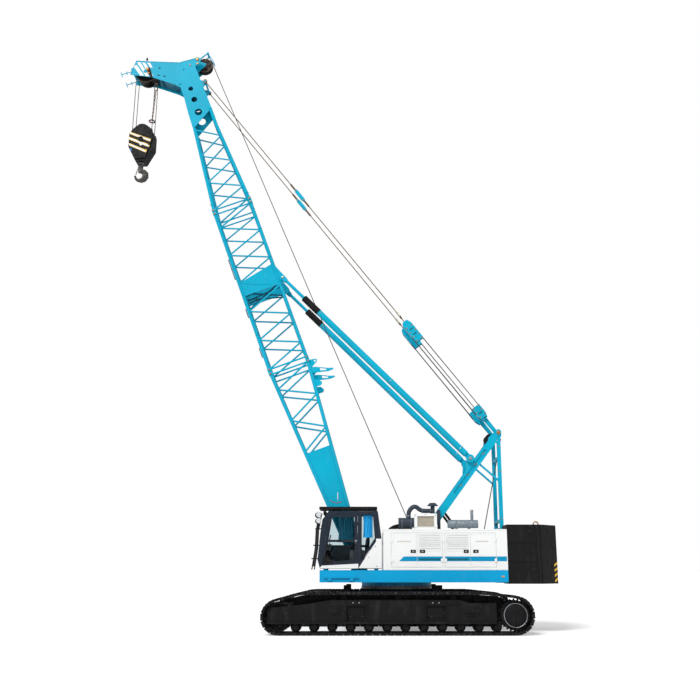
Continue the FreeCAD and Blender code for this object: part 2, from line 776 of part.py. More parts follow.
hinge_y = cab_outer - d.hinge_reach
knuckles = []
for k, z in enumerate((door_low + 280, door_high - 340)):
    knuckles.append(cylinder(f"CabKnuckle{k}", "Z", (hinge_x, hinge_y), 11, z, z + 110))
    knuckles.append(box(f"CabHingeLeaf{k}", (hinge_x - 60, hinge_x), (hinge_y - 6, cab_outer), (z, z + 110)))
node("cab_door", joined("cab_door", [door] + knuckles))
pane = 8
middle = cab_outer + wall / 2
glass = [prism("DoorPaneUpper", "XZ", upper_glass, middle - pane / 2, middle + pane / 2),
         prism("DoorPaneLower", "XZ", lower_glass, middle - pane / 2, middle + pane / 2)]
node("cab_door_glass", joined("cab_door_glass", glass))
front_low = d.cab_front_bottom_x - 80 + wall * 0.4
front_high = d.cab_front_top_x - 190 + wall * 0.4 - 8
outer, inner = cab_outer + 90, cab_inner - 90
panes = [
    prism("PaneQuarterNear", "XZ", quarter, middle - pane / 2, middle + pane / 2),
    prism("PaneFar", "XZ", far_light, cab_inner - wall / 2 - pane / 2, cab_inner - wall / 2 + pane / 2),
    prism("PaneQuarterFar", "XZ", quarter, cab_inner - wall / 2 - pane / 2, cab_inner - wall / 2 + pane / 2),
    prism("PaneFront", "XZ", [
        (front_low, d.cab_bottom + 310), (front_low + pane, d.cab_bottom + 310),
        (front_high + pane, d.cab_top - 300), (front_high, d.cab_top - 300)], outer, inner),
    prism("PaneRear", "YZ", rear_light, d.cab_rear_x - wall / 2 - pane / 2,
          d.cab_rear_x - wall / 2 + pane / 2),
]
node("cab_glass", joined("cab_glass", panes))
seat_x, seat_y = d.cab_rear_x - 620, (cab_outer + cab_inner) / 2
floor = d.cab_bottom + wall
parts = [
    box("SeatBase", (seat_x - 180, seat_x + 180), (seat_y - 170, seat_y + 170), (floor, floor + 330)),
    box("SeatCushion", (seat_x - 260, seat_x + 250), (seat_y - 240, seat_y + 240),
        (floor + 330, floor + 450)),
    box("SeatBack", (seat_x + 150, seat_x + 270), (seat_y - 230, seat_y + 230), (floor + 450, floor + 1130)),
]
node("cab_seat", joined("cab_seat", parts))

# roof guard: a frame with slats, on six posts
guard_low = d.cab_top + d.guard_gap
guard_front, guard_rear = d.cab_front_top_x - 290, d.cab_rear_x - 130
guard_near, guard_far = cab_outer + 60, cab_inner - 60
rim = 60
frame = prism("GuardFrame", "XY", [(guard_front, guard_near), (guard_rear, guard_near),
                                   (guard_rear, guard_far),
                                   (guard_front, guard_far)], guard_low, guard_low + d.guard_height)
pocket(frame, "GuardOpening", "XY", [(guard_front + rim, guard_near + rim),
                                     (guard_rear - rim, guard_near + rim),
                                     (guard_rear - rim, guard_far - rim), (guard_front + rim,
                                                                           guard_far - rim)],
       guard_low - 1, guard_low + d.guard_height)
parts = [frame]
slats = 9
pitch = (guard_rear - guard_front) / slats
for k in range(1, slats):
    x = guard_front + pitch * k
    parts.append(box(f"GuardSlat{k}", (x - 25, x + 25), (guard_near + 10, guard_far - 10),
                     (guard_low + 20, guard_low + 60)))
for k, x in enumerate((-1920, -1290, -690)):
    for word, y in (("Near", cab_outer + 120), ("Far", cab_inner - 120)):
        parts.append(cylinder(f"GuardPost{k}{word}", "Z", (x, y), 20, d.cab_top + d.seat_gap, guard_low + 30,
                              sides=8))
        parts.append(box(f"GuardPad{k}{word}", (x - 50, x + 50), (y - 62, y + 62),
                         (guard_low, guard_low + 20)))
node("cab_roof_guard", joined("cab_roof_guard", parts))

# grab rail in front of the cab's door, with the arm and heads of the mirrors
bulge_x, bulge_z = d.cab_front_bottom_x - 80, d.cab_bottom + 270
brow_x, brow_z = d.cab_front_top_x - 190, d.cab_top - 260


def front_x(z):
    """The cab's front face at this height, below its brow."""
    return bulge_x + (brow_x - bulge_x) * ((z - bulge_z) / (brow_z - bulge_z))


rail_y = float(cab_outer) + 60
rail = [(-110, d.cab_bottom - 10), (-55, d.cab_bottom + 600), (-95, d.cab_bottom + 1140),
        (-60, d.cab_top - 60)]
parts = []
for place, shift in (("Front", -float(d.grab_rail_spread)), ("Rear", 0)):
    line = []
    for reach, z in rail:
        level = max(float(z), float(bulge_z))
        line.append(vec(float(front_x(size(level))) + reach + shift + 20, rail_y, z))
    knee = float(d.grab_rail_radius) - 2
    for k in range(len(line) - 1):
        parts.append(bar(f"GrabRail{place}{k}", line[k], line[k + 1], d.grab_rail_radius, 8))
        parts.append(cylinder(f"GrabKnee{place}{k}", "Y", (line[k].x, line[k].z), d.grab_rail_radius,
                              rail_y - knee, rail_y + knee, sides=8))
for k, z in enumerate((d.cab_bottom + 300, d.cab_bottom + 690, d.cab_bottom + 1180)):
    stub = 16
    low = float(front_x(z)) - 190
    parts.append(cylinder(f"GrabStub{k}", "X", (rail_y, z), stub, low, front_x(z - stub) - d.seat_gap,
                          sides=8))
mirror_x, mirror_z = float(brow_x) - 130, float(brow_z) + 60
arm_start = vec(float(brow_x) - 150, rail_y, float(d.cab_top) - 320)
arm_end = vec(mirror_x, rail_y - 150, mirror_z)
parts.append(bar("MirrorArm", arm_start, arm_end, 14, 8))
for k, (z, radius) in enumerate(((mirror_z + 70, 88), (mirror_z - 110, 82))):
    parts.append(cylinder(f"MirrorHead{k}", "Y", (mirror_x, z), radius, rail_y - 175, rail_y - 130, sides=20))
parts.append(bar("MirrorStem", vec(mirror_x, rail_y - 150, mirror_z - 110),
                 vec(mirror_x, rail_y - 150, mirror_z + 70), 14, 8))
node("cab_rails", joined("cab_rails", parts))

# ---------------------------------------------------------------- machinery house


def house(word, side, front):
    """One side's hollow house: outer wall with the doorways, inner wall, ends and roof."""
    rear, wall = d.deck_rear_x - d.seat_gap, d.house_wall
    low, top = d.deck_top + d.seat_gap, d.house_top
    outside, inside = d.deck_half_width, d.house_inner_y
    span = (inside, outside) if side > 0 else (-outside, -inside)
    hollow = (inside + wall, outside - wall) if side > 0 else (-outside + wall, -inside - wall)
    shell = box(f"House{word}", (front, rear), span, (low, top))
    room = box(f"HouseRoom{word}", (front + wall, rear - wall), hollow, (low + wall, top - wall))
    tools = [room]
    skin = (outside - wall - 1, outside + 1) if side > 0 else (-outside - 1, -outside + wall + 1)
    for pair in range(2):
        start = d.door_one_x + d.door_pitch * 2 * pair
        tools.append(box(f"Doorway{word}{pair}", (start, start + d.door_pitch * 2 - 60), skin,
                         (d.door_bottom, d.door_top)))
    node(f"house_{word}", cut(f"house_{word}", shell, tools))


def house_door(word, side, number):
    """A door leaf with its two hinge knuckles; the hinge stands outside the skin at the leaf's edge."""
    pair, second = divmod(number, 2)
    start = d.door_one_x + d.door_pitch * 2 * pair
    end = start + d.door_pitch * 2 - 60
    middle = (start + end) / 2
    gap = d.door_gap
    span = (start + gap, middle - gap / 2) if second == 0 else (middle + gap / 2, end - gap)
    hinge = start if second == 0 else end
    outside, wall = d.deck_half_width, d.house_wall
    depth = (outside - wall, outside) if side > 0 else (-outside, -outside + wall)
    y = side * (outside + d.hinge_reach)
    name = f"house_door_{word}_{number + 1}"
    leaf = box(name + "Leaf", span, depth, (d.door_bottom + gap, d.door_top - gap))
    parts = [leaf]
    if number in (1, 2):
        # the two middle doors have a louvred field
        margin, recess = 50, 14
        louvre_low, louvre_high = d.door_bottom + 410, d.door_top - 60
        field = (span[0] + margin, span[1] - margin)
        skin = outward(side, outside - recess, outside + 1)
        parts = [cut(name + "Recess", leaf, [box(name + "Field", field, skin, (louvre_low, louvre_high))])]
        blades = 10
        pitch = (louvre_high - louvre_low) / blades
        for k in range(blades):
            low = louvre_low + pitch * k
            parts.append(box(f"{name}Blade{k}", (field[0] - 1, field[1] + 1),
                             outward(side, outside - recess - 1, outside - 2),
                             (low, low + pitch * 0.45)))
    for k, z in enumerate((d.door_bottom + 160, d.door_top - 260)):
        parts.append(cylinder(f"{name}Knuckle{k}", "Z", (hinge, y), 11, z, z + 100))
        low, high = (hinge, hinge + 60) if second == 0 else (hinge - 60, hinge)
        plate = (outside, y + 6) if side > 0 else (y - 6, -outside)
        parts.append(box(f"{name}Strap{k}", (low, high), plate, (z, z + 100)))
    node(name, joined(name, parts))


house("left", -1, d.house_front_x)
house("right", 1, d.house_front_x)
for word, side in SIDES:
    for number in range(4):
        house_door(word, side, number)

# ---------------------------------------------------------------- engine, winch, roof fittings
engine_low = d.deck_top + d.seat_gap + d.house_wall + d.seat_gap
engine = box("EngineBlock", (1300, 2450), (900, 1400), (engine_low, engine_low + 850))
cooler = box("EngineCooler", (2449, 2700), (850, 1500), (engine_low, engine_low + 950))
node("engine_block", joined("engine_block", [engine, cooler]))

# hoist winch between the two houses
half, flange = d.drum_half_width, d.drum_flange
centre = (d.drum_x, d.drum_z)
stand = half + flange + 30
parts = [cylinder("DrumBarrel", "Y", centre, d.drum_barrel_radius, -half, half, sides=32),
         cylinder("DrumShaft", "Y", centre, 60, -stand + 1, stand - 1, sides=12)]
for word, side in SIDES:
    parts.append(cylinder(f"DrumFlange{word}", "Y", centre, d.drum_flange_radius,
                          *outward(side, half, half + flange),
                          sides=32))
    parts.append(prism(f"DrumStand{word}", "XZ", [
        (d.drum_x - 300, d.deck_top + d.seat_gap), (d.drum_x + 300, d.deck_top + d.seat_gap),
        (d.drum_x + 90, d.drum_z + 90), (d.drum_x - 90, d.drum_z + 90)], *outward(side, half + flange,
                                                                                  stand)))
node("hoist_drum", joined("hoist_drum", parts))


def hose(name, points, radius, y):
    """A round hose along points in one plane; each corner is an arc as large as its two runs allow."""
    knots = [vec(x, y, z) for x, z in points]
    edges, last = [], knots[0]
    for k in range(1, len(knots) - 1):
        before, after = knots[k - 1] - knots[k], knots[k + 1] - knots[k]
        trim = 0.45 * min(before.Length, after.Length)
        start = knots[k] + before.normalize() * trim
        end = knots[k] + after.normalize() * trim
        bend = math.pi - before.getAngle(after)
        sagitta = trim / math.tan(bend / 2) * (1 / math.cos(bend / 2) - 1)
        middle = knots[k] + (before + after).normalize() * sagitta
        edges += [Part.makeLine(last, start), Part.Arc(start, middle, end).toShape()]
        last = end
    edges.append(Part.makeLine(last, knots[-1]))
    spine = Part.Wire(edges)
    turn = FreeCAD.Rotation(AXES["Z"], knots[1] - knots[0])
    corners = 12
    ring = []
    for k in range(corners):
        angle = 2 * math.pi * k / corners
        ring.append(knots[0] + turn.multVec(vec(radius * math.cos(angle), radius * math.sin(angle), 0)))
    section = Part.Wire(Part.makePolygon(ring + ring[:1]).Edges)
    piece = doc.addObject("Part::Feature", name)
    piece.Shape = spine.makePipeShell([section], True, False)
    return piece


# air cleaner: a can behind the intake box, its hose and the rain cap on its own stem
can_y, can_z, can_radius = -940, d.house_top + 230, 150
hose_x, cap_x = 370, 1130
can_top = float(can_z) + 380
cap_base = float(d.house_top) + 750
parts = [
    cylinder("CleanerCan", "X", (can_y, can_z), can_radius, 50, 545, sides=20),
    box("CleanerFoot", (120, 200), (can_y - 90, can_y + 90), (d.house_top + d.seat_gap, can_z)),
    box("CleanerFootRear", (400, 480), (can_y - 90, can_y + 90), (d.house_top + d.seat_gap, can_z)),
    hose("CleanerHose", [(hose_x, can_z), (hose_x, can_top - 20), (560, can_top + 160), (760, can_top - 15),
                         (cap_x, can_top - 15)], 68, can_y),
    cylinder("CapStem", "Z", (cap_x, can_y), 66, d.house_top + d.seat_gap, cap_base, sides=16),
]
cap = doc.addObject("Part::Cone", "RainCap")
bind(cap, "Radius1", 180)
bind(cap, "Radius2", 90)
bind(cap, "Height", 90)
cap.Placement = FreeCAD.Placement(vec(cap_x, can_y, cap_base), FreeCAD.Rotation())
parts.append(cap)
parts.append(cylinder("PipeStand", "Z", (1320, -930), 50, d.house_top + d.seat_gap, d.house_top + 630,
                      sides=12))
node("air_cleaner", joined("air_cleaner", parts))
box_low = d.house_top + d.seat_gap
grille = cut("intake_box", box("IntakeBox", (530, 1220), (-1450, -1110), (box_low, box_low + 480)),
             [box("IntakeMouth", (620, 1130), (-1460, -1400), (box_low + 80, box_low + 400))])
node("intake_box", grille)
muffler = joined("muffler", [
    cylinder("MufflerCan", "X", (-1100, d.house_top + 180), 125, 1580, 2520, sides=20),
    cylinder("MufflerPipe", "Z", (2340, -1100), 45, d.house_top + 180, d.house_top + 620, sides=12),
    box("MufflerFeet", (1800, 1880), (-1160, -1040), (box_low, d.house_top + 100)),
    box("MufflerFeetRear", (2200, 2280), (-1160, -1040), (box_low, d.house_top + 100)),
])
node("muffler", muffler)

# ---------------------------------------------------------------- counterweight
weight_front = d.deck_rear_x + d.seat_gap


def weight(name, low, high):
    """One counterweight slab with cut rear corners."""
    wide, rear, corner = d.deck_half_width - d.weight_inset, d.weight_rear_x, d.weight_chamfer
    points = [(weight_front, -wide), (rear - corner, -wide), (rear, -wide + corner), (rear, wide - corner),
              (rear - corner, wide), (weight_front, wide), (weight_front, d.weight_recess_y),
              (d.weight_recess_x, d.weight_recess_y), (d.weight_recess_x, -d.weight_recess_y),
              (weight_front, -d.weight_recess_y)]
    node(name, prism(name, "XY", points, low, high - d.seat_gap))


weight("counterweight_lower", d.weight_bottom, d.weight_tier_one)
weight("counterweight_middle", d.weight_tier_one, d.weight_tier_two)
weight("counterweight_upper", d.weight_tier_two, d.weight_top)

# ---------------------------------------------------------------- gantry
foot = vec(d.gantry_leg_foot_x, 0, d.gantry_foot_z)
top = vec(d.gantry_top_x, 0, d.gantry_top_z)
leg_run = top - foot
leg_along = FreeCAD.Vector(leg_run).normalize()
leg_up = vec(-leg_along.z, 0, leg_along.x)


def on_leg(x, rise=0):
    """A point beside the front leg's centre line at this x."""
    share = (x - foot.x) / leg_run.x
    return foot + leg_run * share + leg_up * rise


def across(point, y):
    return vec(point.x, y, point.z)


legs = []
leg_end = leg_run.Length - 200
turn = FreeCAD.Rotation(AXES["Z"], leg_run)
for word, side in SIDES:
    y = side * float(d.gantry_half_width)
    leg = doc.addObject("Part::Box", f"GantryLeg{word}")
    bind(leg, "Length", d.gantry_leg_depth)
    bind(leg, "Width", d.gantry_leg_width)
    leg.Height = leg_end
    corner = turn.multVec(vec(-d.gantry_leg_depth / 2, 0, 0)) + vec(0, y - float(d.gantry_leg_width) / 2, 0)
    leg.Placement = FreeCAD.Placement(foot + corner, turn)
    legs.append(leg)
parts = list(legs)
leg_seat = d.deck_top + d.seat_gap
for word, side in SIDES:
    y = side * d.gantry_half_width
    half = d.gantry_leg_width / 2
    parts.append(box(f"LegFoot{word}", (d.gantry_leg_foot_x - 170, d.gantry_leg_foot_x + 170),
                     (y - half, y + half),
                     (leg_seat, leg_seat + 60)))
    parts.append(box(f"LegShoe{word}", (d.gantry_leg_foot_x - 90, d.gantry_leg_foot_x + 110),
                     (y - half, y + half),
                     (leg_seat, leg_seat + 220)))
for k, share in enumerate((0.3, 0.62)):
    point = foot + leg_run * share
    reach = float(d.gantry_half_width)
    parts.append(bar(f"GantryTie{k}", across(point, -reach), across(point, reach), 70, 12))
lug_x, lug_z = d.backstop_foot_x, d.backstop_foot_z
mast_top = d.gantry_top_z - 120
top_x, top_z = d.gantry_top_x, d.gantry_top_z
lug = [(lug_x - 120, lug_z - 520), (lug_x + 220, lug_z - 180), (lug_x + 90, lug_z + 60),
       (lug_x - 90, lug_z + 60)]
cheek = [(top_x - 330, top_z - 330), (top_x - 60, top_z - 330), (top_x + 90, mast_top),
         (top_x + 90, top_z + 60),
         (top_x + 40, top_z + 110), (top_x - 40, top_z + 110), (top_x - 330, top_z - 160)]
half = d.gantry_leg_width / 2
for word, side in SIDES:
    y = side * d.gantry_half_width
    parts.append(prism(f"BackstopLug{word}", "XZ", lug, y - half, y + half))
    parts.append(prism(f"GantryCheek{word}", "XZ", cheek, y - half, y + half))
    parts.append(cylinder(f"BackstopPin{word}", "Y", (lug_x, lug_z), d.gantry_pin_radius,
                          *outward(side, d.gantry_half_width, d.backstop_y + 60), sides=24))
parts.append(cylinder("GantryShaft", "Y", (top_x, top_z), d.gantry_pin_radius,
                      -d.gantry_half_width - 90, d.gantry_half_width + 90, sides=24))
guide = (top_x + d.guide_sheave_x, top_z + d.guide_sheave_z)
parts.append(cylinder("GuideShaft", "Y", guide, d.gantry_pin_radius, -d.gantry_half_width,
                      d.gantry_half_width, sides=24))
# the long recess in the upper half of each leg's two faces
recess_start, recess_end = 0.56, 0.9
outer_face = d.gantry_half_width + d.gantry_leg_width / 2
inner_face = d.gantry_half_width - d.gantry_leg_width / 2
recesses = []
for word, side in SIDES:
    for place, near, far in (("Outer", outer_face - d.leg_recess_depth, outer_face + 1),
                             ("Inner", inner_face - 1, inner_face + d.leg_recess_depth)):
        low, high = outward(side, near, far)
        recess = doc.addObject("Part::Box", f"LegRecess{word}{place}")
        bind(recess, "Length", d.leg_recess_width)
        bind(recess, "Width", d.leg_recess_depth + 1)
        recess.Height = leg_end * (recess_end - recess_start)
        start = foot + leg_along * (leg_end * recess_start)
        corner = turn.multVec(vec(-d.leg_recess_width / 2, 0, 0)) + vec(0, low, 0)
        recess.Placement = FreeCAD.Placement(start + corner, turn)
        recesses.append(recess)
half = d.mast_width / 2
spaces, masts = [], []
for word, side in SIDES:
    y = side * d.gantry_half_width
    masts.append(box(f"Mast{word}", (top_x - half, top_x + half), (y - half, y + half), (leg_seat, mast_top)))
    slack = half + d.seat_gap
    spaces.append(box(f"MastSpace{word}", (top_x - slack, top_x + slack), (y - 200, y + 200),
                      (d.gantry_foot_z, mast_top + d.seat_gap)))
node("gantry_front_legs", cut("gantry_front_legs", joined("GantryFront", parts), spaces + recesses))

braces = []
for word, side in SIDES:
    y = side * float(d.gantry_half_width)
    braces.append(bar(f"Brace{word}", across(on_leg(float(d.brace_front_x)), y),
                      vec(top_x, y, d.brace_rear_z), 35, 12))
for k, z in enumerate((3300, 5300)):
    masts.append(box(f"MastTie{k}", (top_x - 45, top_x + 45), (-d.gantry_half_width, d.gantry_half_width),
                     (z, z + 90)))
leg_spaces = []
for leg in legs:
    space = doc.addObject("Part::Box", leg.Name + "Space")
    for prop in ("Length", "Width", "Height"):
        space.setExpression(prop, f"{leg.Name}.{prop}")
    space.Placement = leg.Placement
    leg_spaces.append(space)
node("gantry_masts", cut("gantry_masts", joined("GantryRear", masts + braces), leg_spaces))

parts = []
for k, y in enumerate((-260, -60, 200)):
    sheave = cylinder(f"GantrySheave{k}", "Y", guide, d.guide_sheave_radius, y, y + 60, sides=24)
    bore = hole(f"GantrySheaveBore{k}", "Y", guide, d.gantry_pin_radius + d.pin_clearance, y - 5, y + 65)
    parts.append(cut(f"GantrySheaveRing{k}", sheave, [bore]))
node("gantry_sheaves", joined("gantry_sheaves", parts))

parts = []
for word, side in SIDES:
    y = side * 480
    upper = across(on_leg(1480), y)
    lower = vec(2780, y, float(d.deck_top) + 110)
    halfway = lower + (upper - lower) * 0.6
    parts.append(bar(f"RaisingBarrel{word}", lower, halfway, 75, 12))
    parts.append(bar(f"RaisingRod{word}", halfway, upper, 40, 12))
    leg_face = inner_face - d.seat_gap
    parts.append(cylinder(f"RaisingEye{word}", "Y", (upper.x, upper.z), 70,
                          *outward(side, size(400), leg_face), sides=16))
    parts.append(box(f"RaisingFoot{word}", (2680, 2880), (y - 90, y + 90),
                     (d.deck_top + d.seat_gap, d.deck_top + 130)))
node("gantry_cylinders", joined("gantry_cylinders", parts))

# ---------------------------------------------------------------- boom, in its own frame:
# +Z along the boom from the foot pin, +X towards its rear face
tilt = FreeCAD.Rotation(AXES["Y"], float(d.boom_angle) - 90)
boom_place = FreeCAD.Placement(vec(d.foot_pin_x, 0, d.foot_pin_z), tilt)


def boom_point(back, along, y=0):
    """A point of the boom in the machine's frame."""
    return boom_place.multVec(vec(back, y, along))


def between(value, low, high, first, last):
    """A straight change from first at low to last at high."""
    share = (float(value) - float(low)) / (float(high) - float(low))
    return float(first) + (float(last) - float(first)) * min(max(share, 0), 1)


def chord_at(along, face, side):
    """A chord's centre at this distance from the foot; face is -1 in front and 1 behind."""
    if float(along) < float(d.joint_two):
        depth = between(along, 0, d.joint_one, d.foot_half_depth, d.boom_half_depth)
        middle = 0
        width = float(d.boom_half_width)
    else:
        depth = between(along, d.joint_two, d.head_start, d.boom_half_depth, d.head_half_depth)
        middle = between(along, d.joint_two, d.head_start, 0, d.head_offset)
        width = between(along, d.joint_two, d.head_start, d.boom_half_width,
                        d.head_half_width - d.head_plate / 2)
    return vec(middle + face * depth, side * width, along)


def zigzag(name, start, end, corner_a, corner_b, flip=False):
    """Warren lacing between two chords."""
    count = max(2, round((end - start) / float(d.lacing_pitch)))
    step = (end - start) / count
    members = []
    for k in range(count):
        low, high = start + step * k, start + step * (k + 1)
        first, second = (corner_a, corner_b) if (k % 2 == 0) != flip else (corner_b, corner_a)
        members.append(bar(f"{name}{k}", chord_at(low, *first), chord_at(high, *second), d.lacing_radius))
    return members


def frame_at(name, along):
    """The four cross tubes that close a section's end."""
    corners = [(-1, -1), (1, -1), (1, 1), (-1, 1)]
    return [bar(f"{name}{k}", chord_at(along, *corners[k]), chord_at(along, *corners[(k + 1) % 4]),
                d.lacing_radius)
            for k in range(4)]


CORNERS = [(-1, -1), (1, -1), (1, 1), (-1, 1)]


def joint_blocks(name, joint, above):
    """The four forged ends that meet at a joint; above is 1 for the section that starts there, else -1."""
    near = joint + above * float(d.joint_gap) / 2
    far = joint + above * float(d.joint_block)
    low, high = min(near, far), max(near, far)
    blocks = []
    for k, corner in enumerate(CORNERS):
        at = chord_at(joint, *corner)
        blocks.append(box(f"{name}{k}", (at.x - d.joint_block_depth, at.x + d.joint_block_depth),
                          (at.y - d.joint_block_width, at.y + d.joint_block_width), (low, high)))
    return blocks


def lattice(name, start, end, lace_start, lace_end):
    """Four chords with lacing on all four faces and a frame at each end."""
    parts = [bar(f"{name}Chord{k}", chord_at(start, *corner), chord_at(end, *corner), d.chord_radius, 8)
             for k, corner in enumerate(CORNERS)]
    parts += zigzag(name + "Near", lace_start, lace_end, (-1, -1), (1, -1))
    parts += zigzag(name + "Far", lace_start, lace_end, (-1, 1), (1, 1))
    shift = float(d.lacing_shift)
    parts += zigzag(name + "Front", lace_start + shift, lace_end + shift, (-1, -1), (-1, 1))
    parts += zigzag(name + "Back", lace_start + shift, lace_end + shift, (1, 1), (1, -1))
    return parts


one, two = float(d.joint_one), float(d.joint_two)
inset = float(d.joint_block) / 2
end_frame = 90

# base section: plated from the foot up, with a lug at each foot
parts = lattice("Base", 300, one - inset, float(d.plate_top) + 60, one - end_frame)
parts += frame_at("BaseEnd", one - end_frame) + joint_blocks("BaseJoint", one, -1)
low_front = chord_at(0, -1, -1).x
plate = [(low_front, 120), (chord_at(d.plate_top, -1, -1).x, d.plate_top),
         (chord_at(d.plate_top, 1, -1).x, d.plate_top), (-low_front, 120)]
for word, side in SIDES:
    y = side * d.boom_half_width
    parts.append(prism(f"BasePlate{word}", "XZ", plate, y - d.side_plate / 2, y + d.side_plate / 2))
    thick = d.foot_plate_thickness / 2
    parts.append(cylinder(f"FootLug{word}", "Y", (0, 0), d.ear_radius, y - thick, y + thick, sides=24))
    parts.append(box(f"FootBar{word}", (-d.ear_radius, d.ear_radius), (y - thick, y + thick), (0, 460)))
for k, along in enumerate((700, 2200, 3700)):
    for face in (-1, 1):
        parts.append(bar(f"BaseCross{k}{face}", chord_at(along, face, -1), chord_at(along, face, 1),
                         d.lacing_radius))
# on each rear chord near the joint: a lifting lug, a slotted fork that keeps the pendants apart, and a clip
rear = d.boom_half_depth
lug = [(rear, one - 50), (rear + 240, one - 80), (rear + 300, one - 130), (rear + 270, one - 190),
       (rear + 60, one - 320), (rear, one - 300)]
fork = [(rear - 30, one - 300), (rear + 165, one - 350), (rear + 545, one - 530), (rear + 705, one - 580),
        (rear + 705, one - 630), (rear + 525, one - 640), (rear + 145, one - 550), (rear - 30, one - 480)]
slot = [(rear + 295, one - 440), (rear + 485, one - 540), (rear + 465, one - 580), (rear + 275, one - 520)]
clip = [(rear - 60, one - 740), (rear + 125, one - 790), (rear + 205, one - 920), (rear + 145, one - 1000),
        (rear - 60, one - 1000)]
fin = 12
for word, side in SIDES:
    y = side * d.boom_half_width
    parts.append(prism(f"RearLug{word}", "XZ", lug, y - fin, y + fin))
    parts.append(prism(f"RearClip{word}", "XZ", clip, y - fin, y + fin))
    plate = prism(f"RearFork{word}", "XZ", fork, y - fin, y + fin)
    parts.append(pocket(plate, f"RearForkSlot{word}", "XZ", slot, y - fin - 1, y + fin + 1))
base = joined("BaseFrame", parts)
holes = [hole(f"FootHole{word}", "Y", (0, 0), d.foot_pin_radius + d.pin_clearance,
              side * d.boom_half_width - 60, side * d.boom_half_width + 60, sides=24) for word, side in SIDES]
holes += [hole(f"RearLugHole{word}", "Y", (rear + 215, one - 145), 32, side * d.boom_half_width - 40,
               side * d.boom_half_width + 40, sides=12) for word, side in SIDES]
node("boom_base", cut("boom_base", base, holes), boom_place)

# middle section with the bracket that the backstops meet
parts = lattice("Middle", one + inset, two - inset, one + end_frame, two - end_frame)
parts += frame_at("MiddleLow", one + end_frame) + frame_at("MiddleHigh", two - end_frame)
parts += joint_blocks("MiddleLowJoint", one, 1) + joint_blocks("MiddleHighJoint", two, -1)
depth = float(d.boom_half_depth)
band = [(-depth, d.bracket_bottom), (depth, d.bracket_bottom),
        (d.backstop_pin_back + 95, d.backstop_pin_along - 60),
        (d.backstop_pin_back + 95, d.backstop_pin_along + 60), (depth, d.bracket_rear_top),
        (-depth, d.bracket_front_top)]
for word, side in SIDES:
    y = side * d.boom_half_width
    parts.append(prism(f"Bracket{word}", "XZ", band, y - d.side_plate, y + d.side_plate))
    low, high = sorted((side * float(d.boom_half_width), side * float(d.backstop_y - 55 - d.ear_gap)))
    parts.append(cylinder(f"BracketBoss{word}", "Y", (d.backstop_pin_back, d.backstop_pin_along), 80, low,
                          high, sides=16))
node("boom_middle", joined("boom_middle", parts), boom_place)

# top section with the goose-neck head plates
parts = lattice("Top", two + inset, float(d.head_start), two + end_frame, float(d.head_start) - 60)
parts += frame_at("TopLow", two + end_frame) + joint_blocks("TopJoint", two, 1)
for k, side in enumerate((-1, 1)):
    low, high = chord_at(d.head_start - 40, 1, side), chord_at(d.head_chord_end, 1, side)
    parts.append(bar(f"TopRearChord{k}", low, high, d.chord_radius + 7, 8))
head = [
    (-1900, 19360), (-1530, 19830), (-1030, 19610), (-70, 19210), (460, 19180), (650, 19180), (740, 19110),
    (660, 18960), (440, 18860), (450, 18330), (470, 17870), (490, 17030), (-400, 16430), (-380,
                                                                                          17050), (-330,
                                                                                                   17760),
    (-330, 18220), (-480, 18390), (-1170, 18970),
]
pin_back, pin_along = d.pendant_pin_back, d.pendant_pin_along
stay_lug = [(pin_back - 200, pin_along + 190), (pin_back, pin_along + 65), (pin_back + 60, pin_along),
            (pin_back, pin_along - 65), (pin_back - 200, pin_along - 190)]
inside = d.head_half_width - d.head_plate / 2
for word, side in SIDES:
    parts.append(prism(f"HeadPlate{word}", "XZ", head,
                       *outward(side, d.head_half_width - d.head_plate, d.head_half_width)))
    parts.append(prism(f"StayLug{word}", "XZ", stay_lug,
                       *outward(side, d.head_half_width - 2 * d.head_plate,
                                d.head_half_width - d.head_plate + 1)))
parts.append(box("HeadWeb", (-330, -310), (-inside, inside), (16700, 18200)))
parts.append(box("HeadRearWeb", (430, 450), (-inside, inside), (17100, 18000)))
for k, (back, along, radius) in enumerate(((-1780, 19560, 45), (-900, 19250, 45), (0, 18900, 60),
                                           (440, 19130, 50))):
    parts.append(cylinder(f"HeadTube{k}", "Y", (back, along), radius, -inside, inside, sides=12))
parts.append(cylinder("HeadShaft", "Y", (d.head_sheave_back, d.head_sheave_along), 50, -inside, inside,
                      sides=24))
reach = d.head_half_width + 75
parts.append(cylinder("PendantPin", "Y", (pin_back, pin_along), 35, -reach, reach, sides=24))
back, along = d.rear_sheave_back, d.rear_sheave_along
bracket = [(back - 345, along - 240), (back, along - 80), (back + 85, along), (back, along + 80),
           (back - 195, along + 240),
           (back - 345, along + 240)]
for word, side in SIDES:
    parts.append(prism(f"RearBracket{word}", "XZ", bracket, *outward(side, size(150), size(180))))
parts.append(cylinder("RearSheaveShaft", "Y", (back, along), 40, -190, 190, sides=24))
parts.append(cylinder("RearCrossTube", "Y", (back - 345, along), 45, -inside, inside, sides=12))
# the rope guide behind the head: two arms to a small roller
guide_back, guide_along = 1050, 19380
for word, side in SIDES:
    y = side * 130
    parts.append(bar(f"GuideArm{word}", vec(440, y, 19130), vec(guide_back, y, guide_along), 24, 8))
parts.append(cylinder("GuideRoller", "Y", (guide_back, guide_along), 38, -150, 150, sides=12))
